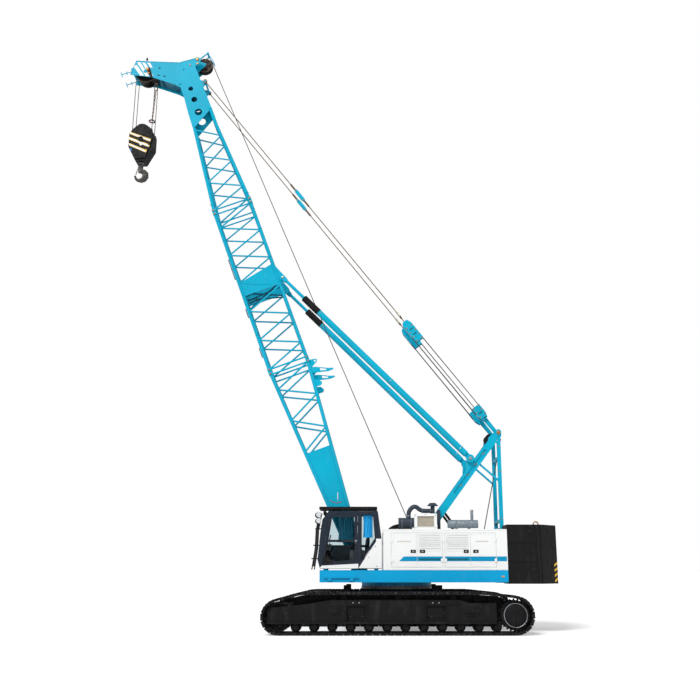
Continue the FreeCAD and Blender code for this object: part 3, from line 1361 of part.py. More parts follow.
# rope keepers that stand out of the front of each head plate: a stem with two cross bars
for word, side in SIDES:
    y = side * (float(d.head_half_width) - 20)
    root, tip = vec(-1800, y, 19470), vec(-2210, y, 19470)
    parts.append(bar(f"KeeperStem{word}", root, tip, 15, 8))
    for k, (x, half) in enumerate(((-2205, 100), (-2010, 70))):
        parts.append(bar(f"KeeperCross{word}{k}", vec(x, y, 19470 - half), vec(x, y, 19470 + half), 15, 8))
solid_head = joined("TopFrame", parts)
tools = []
for k, (back, along, radius) in enumerate(((10, 18030, 90), (0, 17560, 110), (-10, 17020, 135))):
    tools.append(cylinder(f"HeadHole{k}", "Y", (back, along), radius, -500, 500, sides=24))
node("boom_top", cut("boom_top", solid_head, tools), boom_place)



def sheaves(name, centre, radius, shaft_radius, width, places):
    """Loose sheaves on one shaft; places are their low faces."""
    rings = []
    for k, y in enumerate(places):
        disc = cylinder(f"{name}{k}", "Y", centre, radius, y, y + width, sides=32)
        eye = hole(f"{name}Eye{k}", "Y", centre, shaft_radius + d.seat_gap, y - 5, y + width + 5)
        rings.append(cut(f"{name}Ring{k}", disc, [eye]))
    return rings


node("head_sheaves", joined("head_sheaves", sheaves(
    "HeadSheave", (d.head_sheave_back,
                   d.head_sheave_along), d.head_sheave_radius, size(50), d.sheave_thickness,
    (-230, 170))), boom_place)
node("rear_sheaves", joined("rear_sheaves", sheaves(
    "RearSheave", (d.rear_sheave_back,
                   d.rear_sheave_along), d.rear_sheave_radius, size(40), d.sheave_thickness,
    (-90, 30))), boom_place)

# ---------------------------------------------------------------- backstops
foot_pin = vec(d.backstop_foot_x, 0, d.backstop_foot_z)
boom_pin = boom_point(d.backstop_pin_back, d.backstop_pin_along)
run = boom_pin - foot_pin
strut = FreeCAD.Placement(foot_pin, FreeCAD.Rotation(AXES["Z"], run))
tube_end = float(d.backstop_tube_length)
collar_end = tube_end + float(d.backstop_collar_length)
rod_start = collar_end - 4200
parts, rods = [], []
for word, side in SIDES:
    y = side * d.backstop_y
    eye = cylinder(f"TubeEye{word}", "Y", (0, 0), 130, y - 45, y + 45, sides=20)
    neck = box(f"TubeNeck{word}", (-80, 80), (y - 40, y + 40), (0, 260))
    tube = cylinder(f"Tube{word}", "Z", (0, y), d.backstop_tube_radius, 200, tube_end, sides=16)
    collar = cylinder(f"Collar{word}", "Z", (0, y), d.backstop_collar_radius, tube_end - 10, collar_end,
                      sides=16)
    solid = joined(f"TubeSolid{word}", [eye, neck, tube, collar])
    bore = cylinder(f"TubeBore{word}", "Z", (0, y), d.backstop_rod_radius + 5, 420, collar_end - 300,
                    sides=16)
    gland = hole(f"TubeGland{word}", "Z", (0, y), d.backstop_rod_radius + d.pin_clearance, collar_end - 310,
                 collar_end + 10)
    pin_hole = hole(f"TubePinHole{word}", "Y", (0, 0), d.gantry_pin_radius + d.pin_clearance, y - 60, y + 60)
    parts.append(cut(f"TubeCut{word}", solid, [bore, gland, pin_hole]))
    reach = run.Length
    shaft = cylinder(f"Rod{word}", "Z", (0, y), d.backstop_rod_radius, rod_start, reach, sides=24)
    end = cylinder(f"RodEye{word}", "Y", (0, reach), d.backstop_eye_radius, y - 50, y + 50, sides=16)
    rods.append(joined(f"RodSolid{word}", [shaft, end]))
node("backstop_tubes", joined("backstop_tubes", parts), strut)
node("backstop_rods", joined("backstop_rods", rods), strut)

# ---------------------------------------------------------------- pendants and luffing blocks
head_pin = boom_point(d.pendant_pin_back, d.pendant_pin_along)
stay = top - head_pin
stay_place = FreeCAD.Placement(head_pin, FreeCAD.Rotation(AXES["Z"], stay))
near = float(d.spreader_distance) - 300
link_start, link_end = 5500, 6050
start = near + float(d.seat_gap)
cross_along, cross_radius = start + 110, 45
parts = []
for word, side in SIDES:
    y = side * (d.head_half_width + 45)
    eye = cylinder(f"PendantEye{word}", "Y", (0, 0), 75, y - 25, y + 25, sides=16)
    opening = hole(f"PendantHole{word}", "Y", (0, 0), 35 + d.pin_clearance, y - 30, y + 30)
    parts.append(cut(f"PendantEyeRing{word}", eye, [opening]))
    parts.append(cylinder(f"Pendant{word}", "Z", (0, y), d.pendant_radius, 60, cross_along - 60, sides=8))
    end_eye = cylinder(f"PendantEndEye{word}", "Y", (0, cross_along), cross_radius + 40, y - 35, y + 35,
                       sides=16)
    end_bore = hole(f"PendantEndBore{word}", "Y", (0, cross_along), cross_radius + float(d.seat_gap), y - 40,
                    y + 40)
    parts.append(cut(f"PendantEnd{word}", end_eye, [end_bore]))
    link = [(-35, link_start), (35, link_start), (60, link_start + 90), (60, link_end - 90), (35, link_end),
            (-35, link_end), (-60, link_end - 90), (-60, link_start + 90)]
    parts.append(prism(f"PendantLink{word}", "XZ", link, y - 25, y + 25))
    for k, z in enumerate((link_start - 260, link_end, near - 420)):
        parts.append(cylinder(f"PendantSocket{word}{k}", "Z", (0, y), d.pendant_radius * 2.1, z, z + 260,
                              sides=8))
node("pendants", joined("pendants", parts), stay_place)


def luffing_block(name, side, start, end):
    """One side's block: two cheek plates with a cover between them and two sheaves at the rope's end."""
    y, reach, deep = side * (d.head_half_width + 45), d.block_sheave_width + 45, d.block_half_depth
    plate = d.block_plate
    cheek = [(-deep * 0.6, start), (deep * 0.6, start), (deep, start + 160), (deep, end), (-deep, end),
             (-deep, start + 160)]
    shaft = end - 190
    pieces = [prism(f"{name}CheekLow", "XZ", cheek, y - reach - plate, y - reach),
              prism(f"{name}CheekHigh", "XZ", cheek, y + reach, y + reach + plate)]
    for k, face in enumerate((-1, 1)):
        low, high = (deep - plate, deep) if face > 0 else (-deep, -deep + plate)
        pieces.append(box(f"{name}Cover{k}", (low, high), (y - reach - 1, y + reach + 1),
                          (start + 170, end - 200)))
    pieces.append(cylinder(f"{name}Shaft", "Y", (0, shaft), 40, y - reach - plate - 12,
                           y + reach + plate + 12, sides=16))
    for k, place in enumerate((y - d.block_sheave_width - 2, y + 2)):
        pieces.append(cylinder(f"{name}Sheave{k}", "Y", (0, shaft), d.block_sheave_radius, place,
                               place + d.block_sheave_width, sides=24))
    return pieces


# upper spreader: two blocks on one cross shaft
end = start + d.spreader_length
parts = [cylinder("SpreaderCross", "Y", (0, start + 110), 45, -d.head_half_width - 160,
                  d.head_half_width + 160, sides=24)]
for word, side in SIDES:
    parts += luffing_block(f"Spreader{word}", side, start, end)
node("upper_spreader", joined("upper_spreader", parts), stay_place)
bridle_place = FreeCAD.Placement(top, FreeCAD.Rotation(AXES["Z"], head_pin - top))
start = d.bridle_distance
end = start + d.bridle_length
parts = [cylinder("BridleCross", "Y", (0, start + 110), 45, -d.head_half_width - 160,
                  d.head_half_width + 160, sides=16)]
for word, side in SIDES:
    y = side * (d.head_half_width + 45)
    parts += luffing_block(f"Bridle{word}", side, start, end)
    link = [(-60, 0), (60, 0), (75, start + 160), (-75, start + 160)]
    parts.append(prism(f"BridleLink{word}", "XZ", link, y - 22, y + 22))
    parts.append(cylinder(f"BridleEye{word}", "Y", (0, 0), 100, y - 22, y + 22, sides=20))
bridle = joined("BridleSolid", parts)
eye = hole("BridleBore", "Y", (0, 0), d.gantry_pin_radius + d.pin_clearance, -500, 500)
node("lower_bridle", cut("lower_bridle", bridle, [eye]), bridle_place)

# ---------------------------------------------------------------- hook block
hang = boom_point(d.head_sheave_back, d.head_sheave_along)
rope = 13
block_top = hang.z - float(d.block_drop) + 600
block_low = block_top - float(d.block_height)
axle = block_top - 620
wide = d.block_width / 2
half = d.block_thickness / 2
core = [(hang.x - wide, block_top - 360), (hang.x - 150, block_top - 60), (hang.x + 150, block_top - 60),
        (hang.x + wide, block_top - 360), (hang.x + wide, block_top - 900), (hang.x + 160, block_low),
        (hang.x - 160, block_low), (hang.x - wide, block_top - 900)]
cheek = [(hang.x - 300, block_top - 200), (hang.x - 110, block_top - 30), (hang.x - 40, block_top),
         (hang.x + 90, block_top - 5), (hang.x + 200, block_top - 70), (hang.x + 400, block_top - 230),
         (hang.x + 430, block_top - 520), (hang.x + 345, block_top - 880), (hang.x + 200, block_low + 90),
         (hang.x - 150, block_low + 60), (hang.x - 250, block_low + 170), (hang.x - 430, block_top - 760),
         (hang.x - 425, block_top - 430)]


def block_shape(name):
    """The closed body between the sheaves, with a thick cheek on each face and a boss at the axle."""
    plate = d.cheek_plate
    pieces = [prism(name + "Core", "XZ", core, -half + plate, half - plate)]
    for word, side in SIDES:
        pieces.append(prism(f"{name}Cheek{word}", "XZ", cheek, *outward(side, half - plate - 1, half)))
        pieces.append(cylinder(f"{name}Boss{word}", "Y", (hang.x, axle), 90,
                               *outward(side, half - 1, half + 45), sides=20))
    return joined(name, pieces)


node("hook_block", block_shape("hook_block"))
falls = []
for k, y in enumerate((-200, 200)):
    for place, side in (("Front", -1), ("Back", 1)):
        x = hang.x + side * (float(d.head_sheave_radius) + rope + 0.3)
        falls.append(cylinder(f"Fall{k}{place}", "Z", (x, y), rope, block_top - 400, hang.z, sides=8))
node("hoist_falls", cut("hoist_falls", joined("Falls", falls), [block_shape("BlockSpace")]))
eye_z = block_low - d.hook_shank_length
bowl_x, bowl_z = hang.x, float(eye_z) - float(d.hook_bowl_radius)
sections = []
steps = 8
for k in range(steps + 1):
    # from the shank down the back, under the bowl and up to the point
    share = k / steps
    angle = math.radians(90 - 270 * share)
    swell = math.sin(math.pi * min(share * 1.25, 1)) * float(d.hook_swell)
    thick = float(d.hook_thickness) / 2 * (1 - 0.6 * share * share) + swell
    section = doc.addObject("Part::RegularPolygon", f"HookSection{k}")
    section.Polygon = 8
    section.Circumradius = thick
    centre = vec(bowl_x + float(d.hook_bowl_radius) * math.cos(angle), 0,
                 bowl_z + float(d.hook_bowl_radius) * math.sin(angle))
    run = vec(math.sin(angle), 0, -math.cos(angle))
    side_on = FreeCAD.Rotation(AXES["Y"].cross(run), AXES["Y"], run, "ZYX")
    section.Placement = FreeCAD.Placement(centre, side_on)
    sections.append(section)
bowl = doc.addObject("Part::Loft", "HookBowl")
bowl.Sections = sections
bowl.Solid = True
bowl.Ruled = True
shank = cylinder("HookShank", "Z", (hang.x, 0), d.hook_shank_radius, bowl_z + float(d.hook_bowl_radius) - 60,
                 block_low - d.seat_gap, sides=16)
node("hook", joined("hook", [shank, bowl]))

# ---------------------------------------------------------------- checking and writing
doc.recompute()
for thing in doc.Objects:
    if "Invalid" in thing.State or "Error" in thing.State:
        raise RuntimeError(f"{thing.Label} did not build: {thing.State}")
os.makedirs("parts", exist_ok=True)
for name, piece in NODES.items():
    shape = piece.Shape
    if shape.isNull() or not shape.isValid():
        raise RuntimeError(f"{name} has no valid shape")
    shape.exportStep(f"parts/{name}.step")
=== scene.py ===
"""Looks of the dynamic compaction machine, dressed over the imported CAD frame.

Metres, +Z up, +X to the rear.
"""
import json
import math
from itertools import product

import bmesh
import bpy
from mathutils import Matrix, Vector
from mathutils.bvhtree import BVHTree


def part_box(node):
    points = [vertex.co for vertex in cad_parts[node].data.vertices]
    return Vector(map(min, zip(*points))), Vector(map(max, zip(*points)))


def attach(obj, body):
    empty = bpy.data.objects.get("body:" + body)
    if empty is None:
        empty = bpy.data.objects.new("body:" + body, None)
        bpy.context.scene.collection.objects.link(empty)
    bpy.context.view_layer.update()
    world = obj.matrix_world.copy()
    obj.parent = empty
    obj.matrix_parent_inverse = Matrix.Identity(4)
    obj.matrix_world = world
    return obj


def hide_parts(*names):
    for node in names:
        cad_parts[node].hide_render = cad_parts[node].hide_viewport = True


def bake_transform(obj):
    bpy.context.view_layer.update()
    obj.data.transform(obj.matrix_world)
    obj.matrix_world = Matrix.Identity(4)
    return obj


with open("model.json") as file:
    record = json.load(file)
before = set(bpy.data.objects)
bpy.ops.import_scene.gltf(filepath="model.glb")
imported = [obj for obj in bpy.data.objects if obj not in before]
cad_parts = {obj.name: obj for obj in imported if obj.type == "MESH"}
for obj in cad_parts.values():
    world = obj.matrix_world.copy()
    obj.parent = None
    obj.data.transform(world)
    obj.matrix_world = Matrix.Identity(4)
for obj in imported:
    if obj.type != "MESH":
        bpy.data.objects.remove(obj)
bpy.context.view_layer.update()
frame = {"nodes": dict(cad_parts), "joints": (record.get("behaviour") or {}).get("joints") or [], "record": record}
joints = {j["name"]: j for j in frame["joints"]}
NODES = frame["nodes"]

SLEW_X = joints["slew"]["pos_m"][0]
FOOT = Vector(joints["boom_luff"]["pos_m"])
BOOM_ANGLE = math.radians(69.7)
BACK = Vector((math.sin(BOOM_ANGLE), 0, math.cos(BOOM_ANGLE)))
ALONG = Vector((-math.cos(BOOM_ANGLE), 0, math.sin(BOOM_ANGLE)))
SIDES = (("left", -1), ("right", 1))
X, Y, Z = Vector((1, 0, 0)), Vector((0, 1, 0)), Vector((0, 0, 1))
UPPER, LOWER, BOOM, BLOCK = "superstructure", "undercarriage", "boom", "hook_block"

# how far to each side of the middle plane things lie
FLANK_Y, WEIGHT_Y, HEAD_Y, CHEEK_Y = 1.65, 1.62, 0.36, 0.28
CHORD, BACKSTOP_Y, PENDANT_Y, ROPE_GAP = 0.655, 0.76, 0.405, 0.024
OUTSIDE = 4.0
REAR_SHEAVE_R, HEAD_SHEAVE_R, DRUM_ROPE_R, BRIDLE_SHEAVE_R = 0.304, 0.350, 0.525, 0.145


def at(x, y, z):
    """A point given with x measured from the slewing axis."""
    return Vector((SLEW_X + x, y, z))


def boom(back, along, y=0.0):
    """A point of the boom: how far behind the foot's line, how far up it, and across."""
    return FOOT + BACK * back + ALONG * along + Y * y


def turns(count, start=0.0, sweep=2 * math.pi):
    """Angles at even steps."""
    return [start + sweep * k / count for k in range(count)]


def around(centre, first, second, radius, angles):
    """Points of a circle in the plane of two directions."""
    return [centre + first * radius * math.cos(a) + second * radius * math.sin(a) for a in angles]


def round_about(centre, radius, count, start=0.0):
    """Points round a circle in an upright plane."""
    return around(centre, X, Z, radius, turns(count, start))


# ---- materials
class Nodes:
    """The shader nodes of a material or a world."""

    def __init__(self, tree):
        self.nodes, self.links = tree.nodes, tree.links

    def new(self, kind, **values):
        """A node with the values of its inputs, spaces in their names written as underscores."""
        node = self.nodes.new("ShaderNode" + kind)
        for name, value in values.items():
            node.inputs[name.replace("_", " ")].default_value = value
        return node

    def noise(self, scale, detail=4.0, stretch=(1, 1, 1)):
        """Noise in the machine's own coordinates."""
        mapping = self.new("Mapping", Scale=stretch)
        tex = self.new("TexNoise", Scale=scale, Detail=detail)
        self.links.new(self.new("TexCoord").outputs["Object"], mapping.inputs["Vector"])
        self.links.new(mapping.outputs["Vector"], tex.inputs["Vector"])
        return tex.outputs["Fac"]

    def ramp(self, fac, low, high, color_low=(0, 0, 0), color_high=(1, 1, 1)):
        """Two colours, or two greys, over a stretch of a value."""
        node = self.new("ValToRGB")
        for stop, place, color in zip(node.color_ramp.elements, (low, high), (color_low, color_high)):
            stop.position = place
            stop.color = (*color, 1) if isinstance(color, tuple) else (color, color, color, 1)
        self.links.new(fac, node.inputs["Fac"])
        return node.outputs["Color"]

    def mix(self, fac, a, b):
        """Colour mix; a and b are colours or sockets."""
        node = self.new("Mix")
        node.data_type = "RGBA"
        for socket, value in ((node.inputs[0], fac), (node.inputs[6], a), (node.inputs[7], b)):
            if isinstance(value, tuple):
                socket.default_value = (*value, 1)
            else:
                self.links.new(value, socket)
        return node.outputs[2]

    def seen_white(self):
        """One where the camera looks straight at the backdrop or through a window."""
        path, both = self.new("LightPath"), self.new("Math")
        both.operation = "MAXIMUM"
        self.links.new(path.outputs["Is Camera Ray"], both.inputs[0])
        self.links.new(path.outputs["Is Transmission Ray"], both.inputs[1])
        return both.outputs["Value"]


class Shader(Nodes):
    """A Principled material; slot is where its pieces usually stand in the record."""

    def __init__(self, name, slot, color, rough, metal=0.0, coat=0.0, specular=0.5):
        self.mat = bpy.data.materials.new(name)
        self.mat.use_nodes = True
        super().__init__(self.mat.node_tree)
        self.inputs = self.nodes["Principled BSDF"].inputs
        self.slot = slot
        self.set(("Base Color", (*color, 1)), ("Roughness", rough), ("Metallic", metal),
                 ("Coat Weight", coat), ("Coat Roughness", 0.12), ("Specular IOR Level", specular))

    def set(self, *values):
        """Inputs of the material, each from a value or from a socket."""
        for name, value in values:
            if hasattr(value, "is_linked"):
                self.links.new(value, self.inputs[name])
            else:
                self.inputs[name].default_value = value

    def bump(self, height, strength, distance):
        """Relief from a value."""
        node = self.new("Bump", Strength=strength, Distance=distance)
        self.links.new(height, node.inputs["Height"])
        self.set(("Normal", node.outputs["Normal"]))


def paint(name, slot, color, rough=0.32, coat=0.0, specular=0.5, grime=0.05, shade=0.10):
    """Enamel: tone that drifts over the panels, streaks of dust, orange peel."""
    look = Shader(name, slot, color, rough, coat=coat, specular=specular)
    dark, dirt = tuple(c * (1 - shade) for c in color), (0.30, 0.27, 0.23)
    tone = look.mix(look.ramp(look.noise(0.7, 3), 0.35, 0.7), dark, color)
    dust = look.ramp(look.noise(5.0, 8, (1, 1, 0.35)), 0.52, 0.86, 0.0, grime)
    gloss = look.ramp(look.noise(9.0, 6), 0.3, 0.8, rough * 0.8, min(rough * 1.5, 1))
    look.set(("Base Color", look.mix(dust, tone, dirt)), ("Roughness", gloss))
    look.bump(look.noise(160.0, 2), 0.10, 0.002)
    return look


def worn(name, slot, color, bright, rough=0.6, metal=0.6, scale=14.0, relief=0.35, specular=0.4):
    """Working steel, rubber or cloth: a dark skin rubbed lighter in patches."""
    look = Shader(name, slot, color, rough, metal, specular=specular)
    rub = look.ramp(look.noise(scale, 9), 0.5, 0.72)
    gloss = look.ramp(look.noise(scale * 1.7, 5), 0.3, 0.75, rough * 0.75, min(rough * 1.25, 1))
    look.set(("Base Color", look.mix(rub, color, bright)), ("Roughness", gloss))
    look.bump(look.noise(scale * 9, 6), relief, 0.004)
    return look


CYAN = paint("boom_paint", "boom_blue", (0.0, 0.42, 0.62), 0.32, 0.06, 0.16, shade=0.16)
BLUE = paint("frame_paint", "frame_blue", (0.0, 0.37, 0.70), 0.32, 0.06, 0.16)
STRIPE = paint("stripe_paint", "boom_blue", (0.0, 0.28, 0.52), 0.35, 0.06, 0.16)
PATCH_BLUE = paint("patch_blue", "black_paint", (0.02, 0.28, 0.75), 0.4, 0.0, 0.2)
# the boom's blue darkened as painted shade, for pieces inside the lattice and the head and for the door recesses;
# the chord conduits wear it too
SHADED_BLUE = paint("recess_paint", "boom_blue", (0.0, 0.12, 0.19), 0.45, 0.0, 0.2)
WHITE = paint("house_paint", "house_white", (0.83, 0.84, 0.84), 0.40, 0.10, 0.3, 0.07, 0.03)
CHARCOAL = paint("cab_paint", "cab_charcoal", (0.010, 0.019, 0.034), 0.38, 0.10, 0.25)
BLACK = paint("black_paint", "black_paint", (0.007, 0.007, 0.008), 0.5, 0.0, 0.16)
TRACK = worn("track_steel", "track_dark", (0.006, 0.006, 0.007), (0.06, 0.06, 0.063), 0.6, 0.3, specular=0.18)
FRAME_STEEL = paint("track_frame_paint", "track_dark", (0.007, 0.007, 0.008), 0.55, 0.0, 0.14, 0.06)
STEEL = worn("bright_steel", "bare_steel", (0.42, 0.43, 0.44), (0.62, 0.63, 0.64), 0.28, 1.0, 30)
FORGED = worn("forged_steel", "hook_steel", (0.075, 0.068, 0.062), (0.17, 0.16, 0.15), 0.55)
ROPE = worn("rope_steel", "rope_steel", (0.085, 0.070, 0.062), (0.20, 0.165, 0.145), 0.55, 0.5, 60)
ROPE_BROWN = worn("greased_rope", "rope_steel", (0.13, 0.075, 0.045), (0.30, 0.20, 0.13), 0.55, 0.4, 60)
SEAT = worn("seat_cloth", "seat_fabric", (0.016, 0.019, 0.024), (0.035, 0.040, 0.050), 0.9, 0.0, 90)
CURTAIN = worn("curtain_cloth", "boom_blue", (0.02, 0.42, 0.80), (0.04, 0.52, 0.88), 0.85, 0.0, 120, 0.2)
TEAL = worn("far_curtain_cloth", "boom_blue", (0.03, 0.28, 0.42), (0.06, 0.38, 0.54), 0.85, 0.0, 120, 0.2)
ENGINE = worn("engine_paint", "engine_grey", (0.16, 0.17, 0.18), (0.26, 0.27, 0.28), 0.5, 0.4)
RUBBER = worn("rubber", "black_paint", (0.012, 0.012, 0.013), (0.03, 0.03, 0.032), 0.75, 0.0, 40)
SLATE = worn("hose_rubber", "black_paint", (0.022, 0.036, 0.055), (0.04, 0.055, 0.075), 0.6, 0.0, 30, 0.2)
BRASS = worn("plated_pins", "bare_steel", (0.42, 0.20, 0.06), (0.60, 0.36, 0.16), 0.4, 0.8, 40)
GALVANISED = worn("galvanised", "bare_steel", (0.34, 0.36, 0.38), (0.52, 0.54, 0.56), 0.42, 0.8, 22)
MUFFLER = worn("muffler_shell", "bare_steel", (0.20, 0.24, 0.27), (0.36, 0.40, 0.43), 0.5, 0.5, 16)
BEIGE = worn("filter_louvres", "house_white", (0.50, 0.45, 0.36), (0.62, 0.57, 0.47), 0.8, 0.0, 18, 0.2)
GREY_TRIM = worn("cab_plastic", "seat_fabric", (0.05, 0.055, 0.062), (0.09, 0.095, 0.10), 0.7, 0.0, 50, 0.2)
STRIPE_WHITE = paint("stripe_white", "boom_blue", (0.80, 0.81, 0.80), 0.45, 0.25, 0.5, 0.10, 0.04)
YELLOW = paint("marking_yellow", "black_paint", (0.80, 0.50, 0.02), 0.45, 0.25, grime=0.12)
RED = paint("marking_red", "boom_blue", (0.48, 0.03, 0.02), 0.45, 0.25, grime=0.12)
AMBER = paint("lamp_amber", "black_paint", (0.85, 0.30, 0.03), 0.15, 0.6)
LENS = paint("lamp_lens", "glass", (0.66, 0.69, 0.72), 0.10, 0.8)
SCREEN = paint("screen", "glass", (0.02, 0.05, 0.06), 0.10, 0.7, grime=0.04)
GLASS = Shader("tinted_glass", "glass", (0.72, 0.80, 0.82), 0.03)
GLASS.set(("Transmission Weight", 1.0), ("IOR", 1.06),
          ("Roughness", GLASS.ramp(GLASS.noise(6.0, 5), 0.4, 0.8, 0.01, 0.05)))

SLOT_LOOK = {look.slot: look for look in (
    CYAN, BLUE, WHITE, CHARCOAL, BLACK, TRACK, GLASS, STEEL, FORGED, ROPE, SEAT, ENGINE)}
SPECIAL = {"muffler": MUFFLER, "air_cleaner": SLATE, "slew_ring": FORGED, "backstop_rods": CYAN,
           "pendants": ROPE_BROWN, "carbody": FRAME_STEEL, "track_frame_left": FRAME_STEEL,
           "track_frame_right": FRAME_STEEL}
node_slots = {s["node"]: s["material_slot"] for s in frame["record"]["subparts"]}
for name, node in NODES.items():
    for material_slot in node.material_slots:
        material_slot.material = SPECIAL.get(name, SLOT_LOOK[node_slots[name]]).mat


# ---- shapes
def rect(x0, x1, z0, z1):
    """The outline of an upright rectangle."""
    return [(x0, z0), (x1, z0), (x1, z1), (x0, z1)]


def hull(rings, closed=False):
    """Faces between rings of points, and over both ends where the rings don't close."""
    bm = Piece.bm
    rings = [[bm.verts.new(p) for p in ring] for ring in rings]
    for low, high in zip(rings, rings[1:] + rings[:1] if closed else rings[1:]):
        for k in range(len(low)):
            n = (k + 1) % len(low)
            bm.faces.new((low[k], low[n], high[n], high[k]))
    if not closed:
        bm.faces.new(rings[0][::-1])
        bm.faces.new(rings[-1])


def plate(outline, low, high, axis="Y"):
    """A flat piece with an outline; its points are the two other coordinates in x, y, z order."""
    def place(a, b, c):
        return {"Y": (a, c, b), "Z": (a, b, c)}[axis]
    hull([[place(a, b, level) for a, b in outline] for level in (low, high)])


def boom_plate(outline, low, high):
    """A plate with its outline in the boom's own measures."""
    plate([boom(back, along).xz for back, along in outline], low, high)


def cut_plate(outline, start, run, up, middle, half):
    """A plate whose outline is measured along and across a bar."""
    plate([(start + run * reach + up * rise).xz for reach, rise in outline], middle - half, middle + half)


def slab(corner, other):
    """A block between two corners; the piece's bevel rounds its edges."""
    (x0, y0, z0), (x1, y1, z1) = corner, other
    plate(rect(x0, x1, z0, z1), *sorted((y0, y1)))


def rod(a, b, radius, sides=12, tip=None):
    """A round bar from a to b, tapering to tip where that is given."""
    a, b = Vector(a), Vector(b)
    run = b - a
    turn = run.to_track_quat("Z", "Y").to_matrix().to_4x4()
    bmesh.ops.create_cone(Piece.bm, cap_ends=True, segments=sides, radius1=radius,
                          radius2=radius if tip is None else tip, depth=run.length,
                          matrix=Matrix.Translation((a + b) / 2) @ turn)


def pin(place, axis, start, end, radius, sides=12, tip=None):
    """A round bar along an axis, from one distance off a place to another."""
    rod(place + axis * start, place + axis * end, radius, sides, tip)


def bolt(place, out, radius=0.018, height=0.014):
    """A washer and a hexagon head standing off a face."""
    place = Vector(place)
    pin(place, out, -0.002, height * 0.3, radius * 1.45)
    pin(place, out, 0, height, radius, 6)


def circle(centre, axis, radius, count=24):
    """Points round a circle."""
    axis = Vector(axis).normalized()
    first = axis.orthogonal().normalized()
    return around(Vector(centre), first, axis.cross(first), radius, turns(count))


def sweep(points, radius, sides=8, closed=False):
    """A round section carried along points without twist."""
    points = [Vector(p) for p in points]
    count = len(points)
    rings = []
    normal = None
    for k, p in enumerate(points):
        before = points[k - 1] if (k or closed) else p
        after = points[(k + 1) % count] if (k < count - 1 or closed) else p
        run = (after - before).normalized()
        if normal is None:
            normal = run.orthogonal().normalized()
        normal = (normal - run * normal.dot(run)).normalized()
        side = run.cross(normal)
        rings.append(around(p, normal, side, radius, turns(sides)))
    hull(rings, closed)


def hoop(outline, y, thick):
    """A round section carried round an upright outline."""
    sweep([(x, y, z) for x, z in outline], thick, 6, closed=True)


def torus(centre, axis, radius, thick, count=24, sides=6):
    """A ring of round section."""
    sweep(circle(centre, axis, radius, count), thick, sides, closed=True)


def lathe(centre, axis, profile, steps=20):
    """A turned form; the profile is (radius, distance along the axis) pairs."""
    axis = Vector(axis)
    hull([circle(Vector(centre) + axis * reach, axis, radius, steps) for radius, reach in profile])


def rounded(points, times=3):
    """Corners cut again and again until a line runs smoothly."""
    points = [Vector(p) for p in points]
    for _ in range(times):
        cut = [points[0]]
        for a, b in zip(points, points[1:]):
            cut += [a.lerp(b, 0.25), a.lerp(b, 0.75)]
        points = cut + [points[-1]]
    return points


made = {}
trees = {}


class Piece:
    """One mesh piece: shapes go to the open one, and leaving the block puts it in the scene on its body."""

    bm = None

    def __init__(self, name, look, body, bevel=0.0, slot=None):
        self.name, self.mat, self.body, self.bevel = name, look.mat, body, bevel
        self.slot = slot or look.slot

    def __enter__(self):
        Piece.bm = bmesh.new()
        return Piece.bm

    def __exit__(self, kind, value, trace):
        if kind:
            return False
        bm = Piece.bm
        bmesh.ops.recalc_face_normals(bm, faces=bm.faces)
        mesh = bpy.data.meshes.new(self.name)
        bm.to_mesh(mesh)
        bm.free()
        mesh.materials.append(self.mat)
        obj = bpy.data.objects.new(self.name, mesh)
        bpy.context.collection.objects.link(obj)
        mesh.polygons.foreach_set("use_smooth", [True] * len(mesh.polygons))
        mesh.set_sharp_from_angle(angle=math.radians(35))
        if self.bevel:
            edge = obj.modifiers.new("edges", "BEVEL")
            edge.width = self.bevel
            edge.segments = 2
            edge.limit_method = "ANGLE"
        if self.body:
            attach(obj, self.body)
        made[self.name] = obj
        return False


def probe(node, origin, direction):
    """Where a line from outside first meets a CAD node, or None where it passes by."""
    if node not in trees:
        mesh = NODES[node].data
        trees[node] = BVHTree.FromPolygons([v.co for v in mesh.vertices], [p.vertices for p in mesh.polygons])
    return trees[node].ray_cast(Vector(origin), Vector(direction))[0]


def hit(node, origin, direction):
    """The same, where it has to meet it."""
    place = probe(node, origin, direction)
    if place is None:
        raise RuntimeError(f"nothing of {node} lies that way")
    return place


def skin(node, place, side, find=hit):
    """The same place moved onto a node's outer face on one side of the machine."""
    return find(node, (place[0], side * OUTSIDE, place[2]), (0, -side, 0))


def middle_of(node):
    """The middle of a CAD node's box."""
    low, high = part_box(node)
    return (Vector(low) + Vector(high)) / 2


def plate_at(outline, y0, y1, origin=SLEW_X):
    """A plate with its outline's x measured from the slewing axis."""
    plate([(origin + x, z) for x, z in outline], *sorted((y0, y1)))


def on_face(outline, side, proud=0.0025, y=FLANK_Y, origin=SLEW_X):
    """A thin plate on a face of one side."""
    plate_at(outline, side * (y - 0.001), side * (y + proud), origin)


def hoop(outline, y, thick):
    """A round section carried round an upright outline; its x is measured from the slewing axis."""
    sweep([at(x, y, z) for x, z in outline], thick, 6, closed=True)


# ---- crawler tracks
def shoe_faces(node):
    """The outer face of every shoe, from the loop's own mesh: its middle, the way it faces and its run."""
    middle = middle_of(node)
    planes = {}
    for face in NODES[node].data.polygons:
        n = face.normal
        if abs(n.y) < 0.01 and n.dot(face.center - middle) > 0:
            key = (round(n.x, 2), round(n.z, 2), round(n.dot(face.center), 3))
            planes.setdefault(key, []).append(face)
    vertices = NODES[node].data.vertices
    for faces in planes.values():
        n = faces[0].normal.copy()
        run = n.cross(Y).normalized()
        reaches = [[vertices[v].co.dot(run) for v in face.vertices] for face in faces]
        merged = []
        for a, b in sorted((min(reach), max(reach)) for reach in reaches):
            if merged and a < merged[-1][1] - 0.001:
                merged[-1][1] = max(merged[-1][1], b)
            else:
                merged.append([a, b])
        for a, b in merged:
            if 0.12 < b - a < 0.26:
                yield n * n.dot(faces[0].center) + run * (a + b) / 2 + Y * middle.y, n, run


